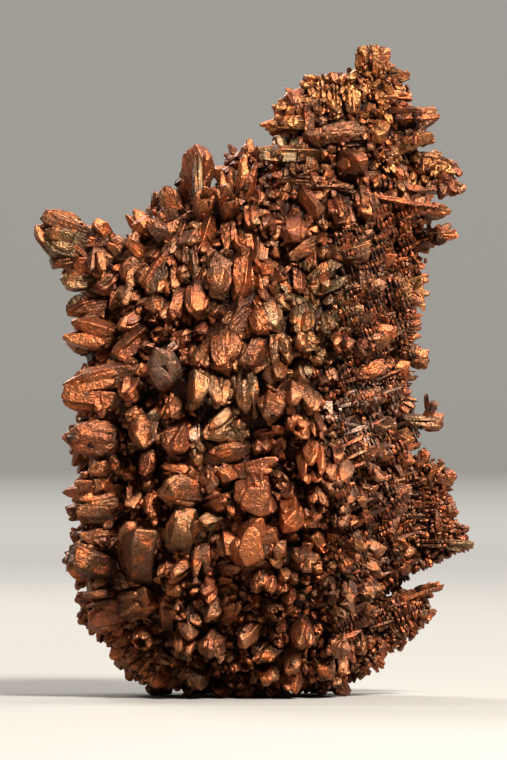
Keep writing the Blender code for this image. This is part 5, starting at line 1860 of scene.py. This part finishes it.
        # Partly oxide, thickest between the crystals where nothing rubs it, and partly painted shade: the
        # colour darkens towards the gap colour where crystals crowd round
        crevice_occlusion = add_node(
            tree, "ShaderNodeAmbientOcclusion", {"samples": 6}, values={"Distance": self.gap_shade_reach * MM},
        )
        crevice_shade_share = add_node(
            tree, "ShaderNodeMapRange", {"interpolation_type": "SMOOTHSTEP"}, {"Value": crevice_occlusion.outputs["AO"]},
            {"From Min": 0.1, "From Max": 0.62, "To Min": 0.2, "To Max": 1.0},
        )
        crevice_shaded = add_node(
            tree, "ShaderNodeMix", {"data_type": "RGBA"},
            {0: crevice_shade_share.outputs["Result"], 7: shaded.outputs[2]}, {6: (*linear(self.gap), 1.0)},
        )
        worn_share = add_node(
            tree, "ShaderNodeMath", {"operation": "MULTIPLY"},
            {0: wear.outputs["Fac"], 1: mottle.outputs["Fac"]},
        )
        open_share = add_node(
            tree, "ShaderNodeMath", {"operation": "MULTIPLY"},
            {0: worn_share.outputs[0], 1: patina.outputs["Alpha"]},
        )
        rubbed = add_node(
            tree, "ShaderNodeMix", {"data_type": "RGBA"},
            {0: open_share.outputs[0], 6: crevice_shaded.outputs[2]}, {7: (*linear(self.bright), 1.0)},
        )
        rough = add_node(
            tree, "ShaderNodeMapRange", links={"Value": pits.outputs["Fac"]},
            values={
                "From Min": 0.3, "From Max": 0.7, "To Min": self.roughness_low, "To Max": self.roughness_high,
            },
        )
        chip_bump = add_node(
            tree, "ShaderNodeBump", links={"Height": chips.outputs["Distance"]},
            values={"Strength": 0.35, "Distance": 0.1 * MM},
        )
        rib_bump = add_node(
            tree, "ShaderNodeBump",
            links={"Height": ribs.outputs["Fac"], "Normal": chip_bump.outputs["Normal"]},
            values={"Strength": 0.45, "Distance": 0.08 * MM},
        )
        pit_bump = add_node(
            tree, "ShaderNodeBump",
            links={"Height": pits.outputs["Fac"], "Normal": rib_bump.outputs["Normal"]},
            values={"Strength": 0.9, "Distance": 0.1 * MM},
        )
        tree.links.new(rubbed.outputs[2], shader.inputs["Base Color"])
        tree.links.new(rough.outputs["Result"], shader.inputs["Roughness"])
        tree.links.new(pit_bump.outputs["Normal"], shader.inputs["Normal"])
        shader.inputs["Metallic"].default_value = self.metallic
        return material


@dataclass(frozen=True)
class MattPaper:
    """Pale uncoated paper, rolled: matt, with a faint fibre grain."""

    name: str = "uncoated_paper"
    light: str = "8f8c87"
    dark: str = "898681"
    fibre: float = 0.8
    roughness: float = 0.9

    def build(self) -> bpy.types.Material:
        """Makes the material.

        Returns:
            The material.
        """
        material = bpy.data.materials.new(self.name)
        material.use_nodes = True
        tree = material.node_tree
        shader = tree.nodes["Principled BSDF"]
        place = add_node(tree, "ShaderNodeTexCoord")
        fibres = add_node(
            tree, "ShaderNodeTexNoise", links={"Vector": place.outputs["Object"]},
            values={"Scale": 1.0 / (self.fibre * MM), "Detail": 3.0},
        )
        tone = add_node(
            tree, "ShaderNodeMix", {"data_type": "RGBA"}, {0: fibres.outputs["Fac"]},
            {6: (*linear(self.light), 1.0), 7: (*linear(self.dark), 1.0)},
        )
        tree.links.new(tone.outputs[2], shader.inputs["Base Color"])
        shader.inputs["Roughness"].default_value = self.roughness
        return material


@dataclass
class Studio:
    """A pale sweep of paper, soft lights and the camera. Lengths are in mm."""

    floor_radius: float = 1500.0
    bend_radius: float = 500.0
    wall_height: float = 1400.0
    sweep_sides: int = 96
    bend_steps: int = 16
    room_tint: str = "dddddd"
    room_strength: float = 0.1
    picture_height: float = 47.5
    picture_middle: float = 19.875
    camera_distance: float = 600.0
    focus_plane: float = -4.0
    sensor: float = 36.0

    def sweep(self) -> bpy.types.Object:
        """The floor and the round wall far off, joined by a bend.

        Returns:
            The sweep.
        """
        profile = [(1.0, 0.0), (self.floor_radius, 0.0)]
        for step in range(1, self.bend_steps + 1):
            turn = math.pi / 2.0 * step / self.bend_steps
            away = self.floor_radius + self.bend_radius * math.sin(turn)
            profile.append((away, self.bend_radius * (1.0 - math.cos(turn))))
        profile.append((self.floor_radius + self.bend_radius, self.wall_height))
        sides = self.sweep_sides
        turns = [math.tau * side / sides for side in range(sides)]
        points = [
            (away * math.cos(turn) * MM, away * math.sin(turn) * MM, height * MM)
            for away, height in profile for turn in turns
        ]
        faces = [tuple(range(sides))]
        for row in range(len(profile) - 1):
            for side in range(sides):
                low, nxt = row * sides, (side + 1) % sides
                faces.append((low + side, low + nxt, low + sides + nxt, low + sides + side))
        mesh = bpy.data.meshes.new("paper_sweep")
        mesh.from_pydata(points, [], faces)
        for face in mesh.polygons:
            face.use_smooth = True
        mesh.materials.append(MattPaper().build())
        thing = bpy.data.objects.new("paper_sweep", mesh)
        bpy.context.scene.collection.objects.link(thing)
        return thing

    def lamp(self, name: str, place: tuple[float, float, float], size: float, power: float, tint: str,
             aim: tuple[float, float, float] | None = None) -> None:
        """A square soft light.

        Args:
            name: its name.
            place: where it hangs, in mm.
            size: its side in mm.
            power: its power in watts.
            tint: its colour as an sRGB hex value.
            aim: what it faces, in mm, or None for the middle of the nugget.
        """
        light = bpy.data.lights.new(name, "AREA")
        light.size = size * MM
        light.energy = power
        light.color = linear(tint)
        thing = bpy.data.objects.new(name, light)
        thing.location = Vector(place) * MM
        towards = Vector(aim or (0.0, 0.0, self.picture_middle)) * MM - thing.location
        thing.rotation_euler = towards.to_track_quat("-Z", "Y").to_euler()
        bpy.context.scene.collection.objects.link(thing)

    def light(self) -> None:
        """Hangs the lights: a key high at the right front, a weak fill at the left, and a pale room."""
        self.lamp("key", (105.0, -175.0, 225.0), 60.0, 2.5, "fffaf4")
        self.lamp("fill", (-260.0, -260.0, 90.0), 200.0, 0.1, "f6f6fa")
        self.lamp("rim", (220.0, 120.0, 160.0), 90.0, 0.6, "fff6ee")
        self.lamp("back", (-120.0, 260.0, 220.0), 120.0, 1.0, "f6f2ec")
        self.lamp("wall", (0.0, 400.0, 1000.0), 600.0, 34.0, "ffffff", (0.0, 1800.0, 200.0))
        world = bpy.data.worlds.new("room")
        world.use_nodes = True
        room = world.node_tree.nodes["Background"]
        room.inputs["Color"].default_value = (*linear(self.room_tint), 1.0)
        room.inputs["Strength"].default_value = self.room_strength
        bpy.context.scene.world = world
        bpy.context.scene.view_settings.view_transform = "Standard"

    def camera(self) -> None:
        """Sets the camera level with the nugget's middle, far off with a long lens, as in the photo."""
        data = bpy.data.cameras.new("camera")
        data.sensor_width = self.sensor
        data.lens = self.sensor * self.camera_distance / self.picture_height
        thing = bpy.data.objects.new("camera", data)
        thing.location = Vector((0.0, self.focus_plane - self.camera_distance, self.picture_middle)) * MM
        thing.rotation_euler = (math.pi / 2.0, 0.0, 0.0)
        bpy.context.scene.collection.objects.link(thing)
        bpy.context.scene.camera = thing

    def build(self) -> bpy.types.Object:
        """Puts up the sweep, the lights and the camera.

        Returns:
            The sweep.
        """
        self.light()
        self.camera()
        return self.sweep()


def report(piece: bpy.types.Object) -> None:
    """Logs a piece's name and how many triangles it has."""
    LOG.info("%s: %d triangles", piece.name, len(piece.data.polygons))


def main() -> None:
    """Builds the nugget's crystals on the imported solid, dresses them and lights the scene."""
    logging.basicConfig(level=logging.INFO, format="%(name)s: %(message)s")
    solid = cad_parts[NODE]
    draw = np.random.default_rng(SEED)
    ground = Ground.of(solid, GROUND_CELL)
    pieces = [Core().build(solid, draw)]
    for part in (
        LeftHorn(), LeftFlank(), LowerLeft(), Centre(), LowerCentre(), LowerRight(), RightFlank(),
        Crown(), Tower(), RightEdge(), CombPlates(), LowerBlade(), FlankCombs(),
        Fillers("front_fill", True), Fillers("left_back", False, -1), Fillers("right_back", False, 1),
    ):
        pieces.append(part.build(ground, draw))
    copper = OxidisedCopper().build()
    for piece in pieces:
        piece.data.materials.append(copper)
        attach(piece, "root")
        report(piece)
    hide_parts(NODE)
    Studio().build()
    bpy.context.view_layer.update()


if __name__ == "__main__":
    main()
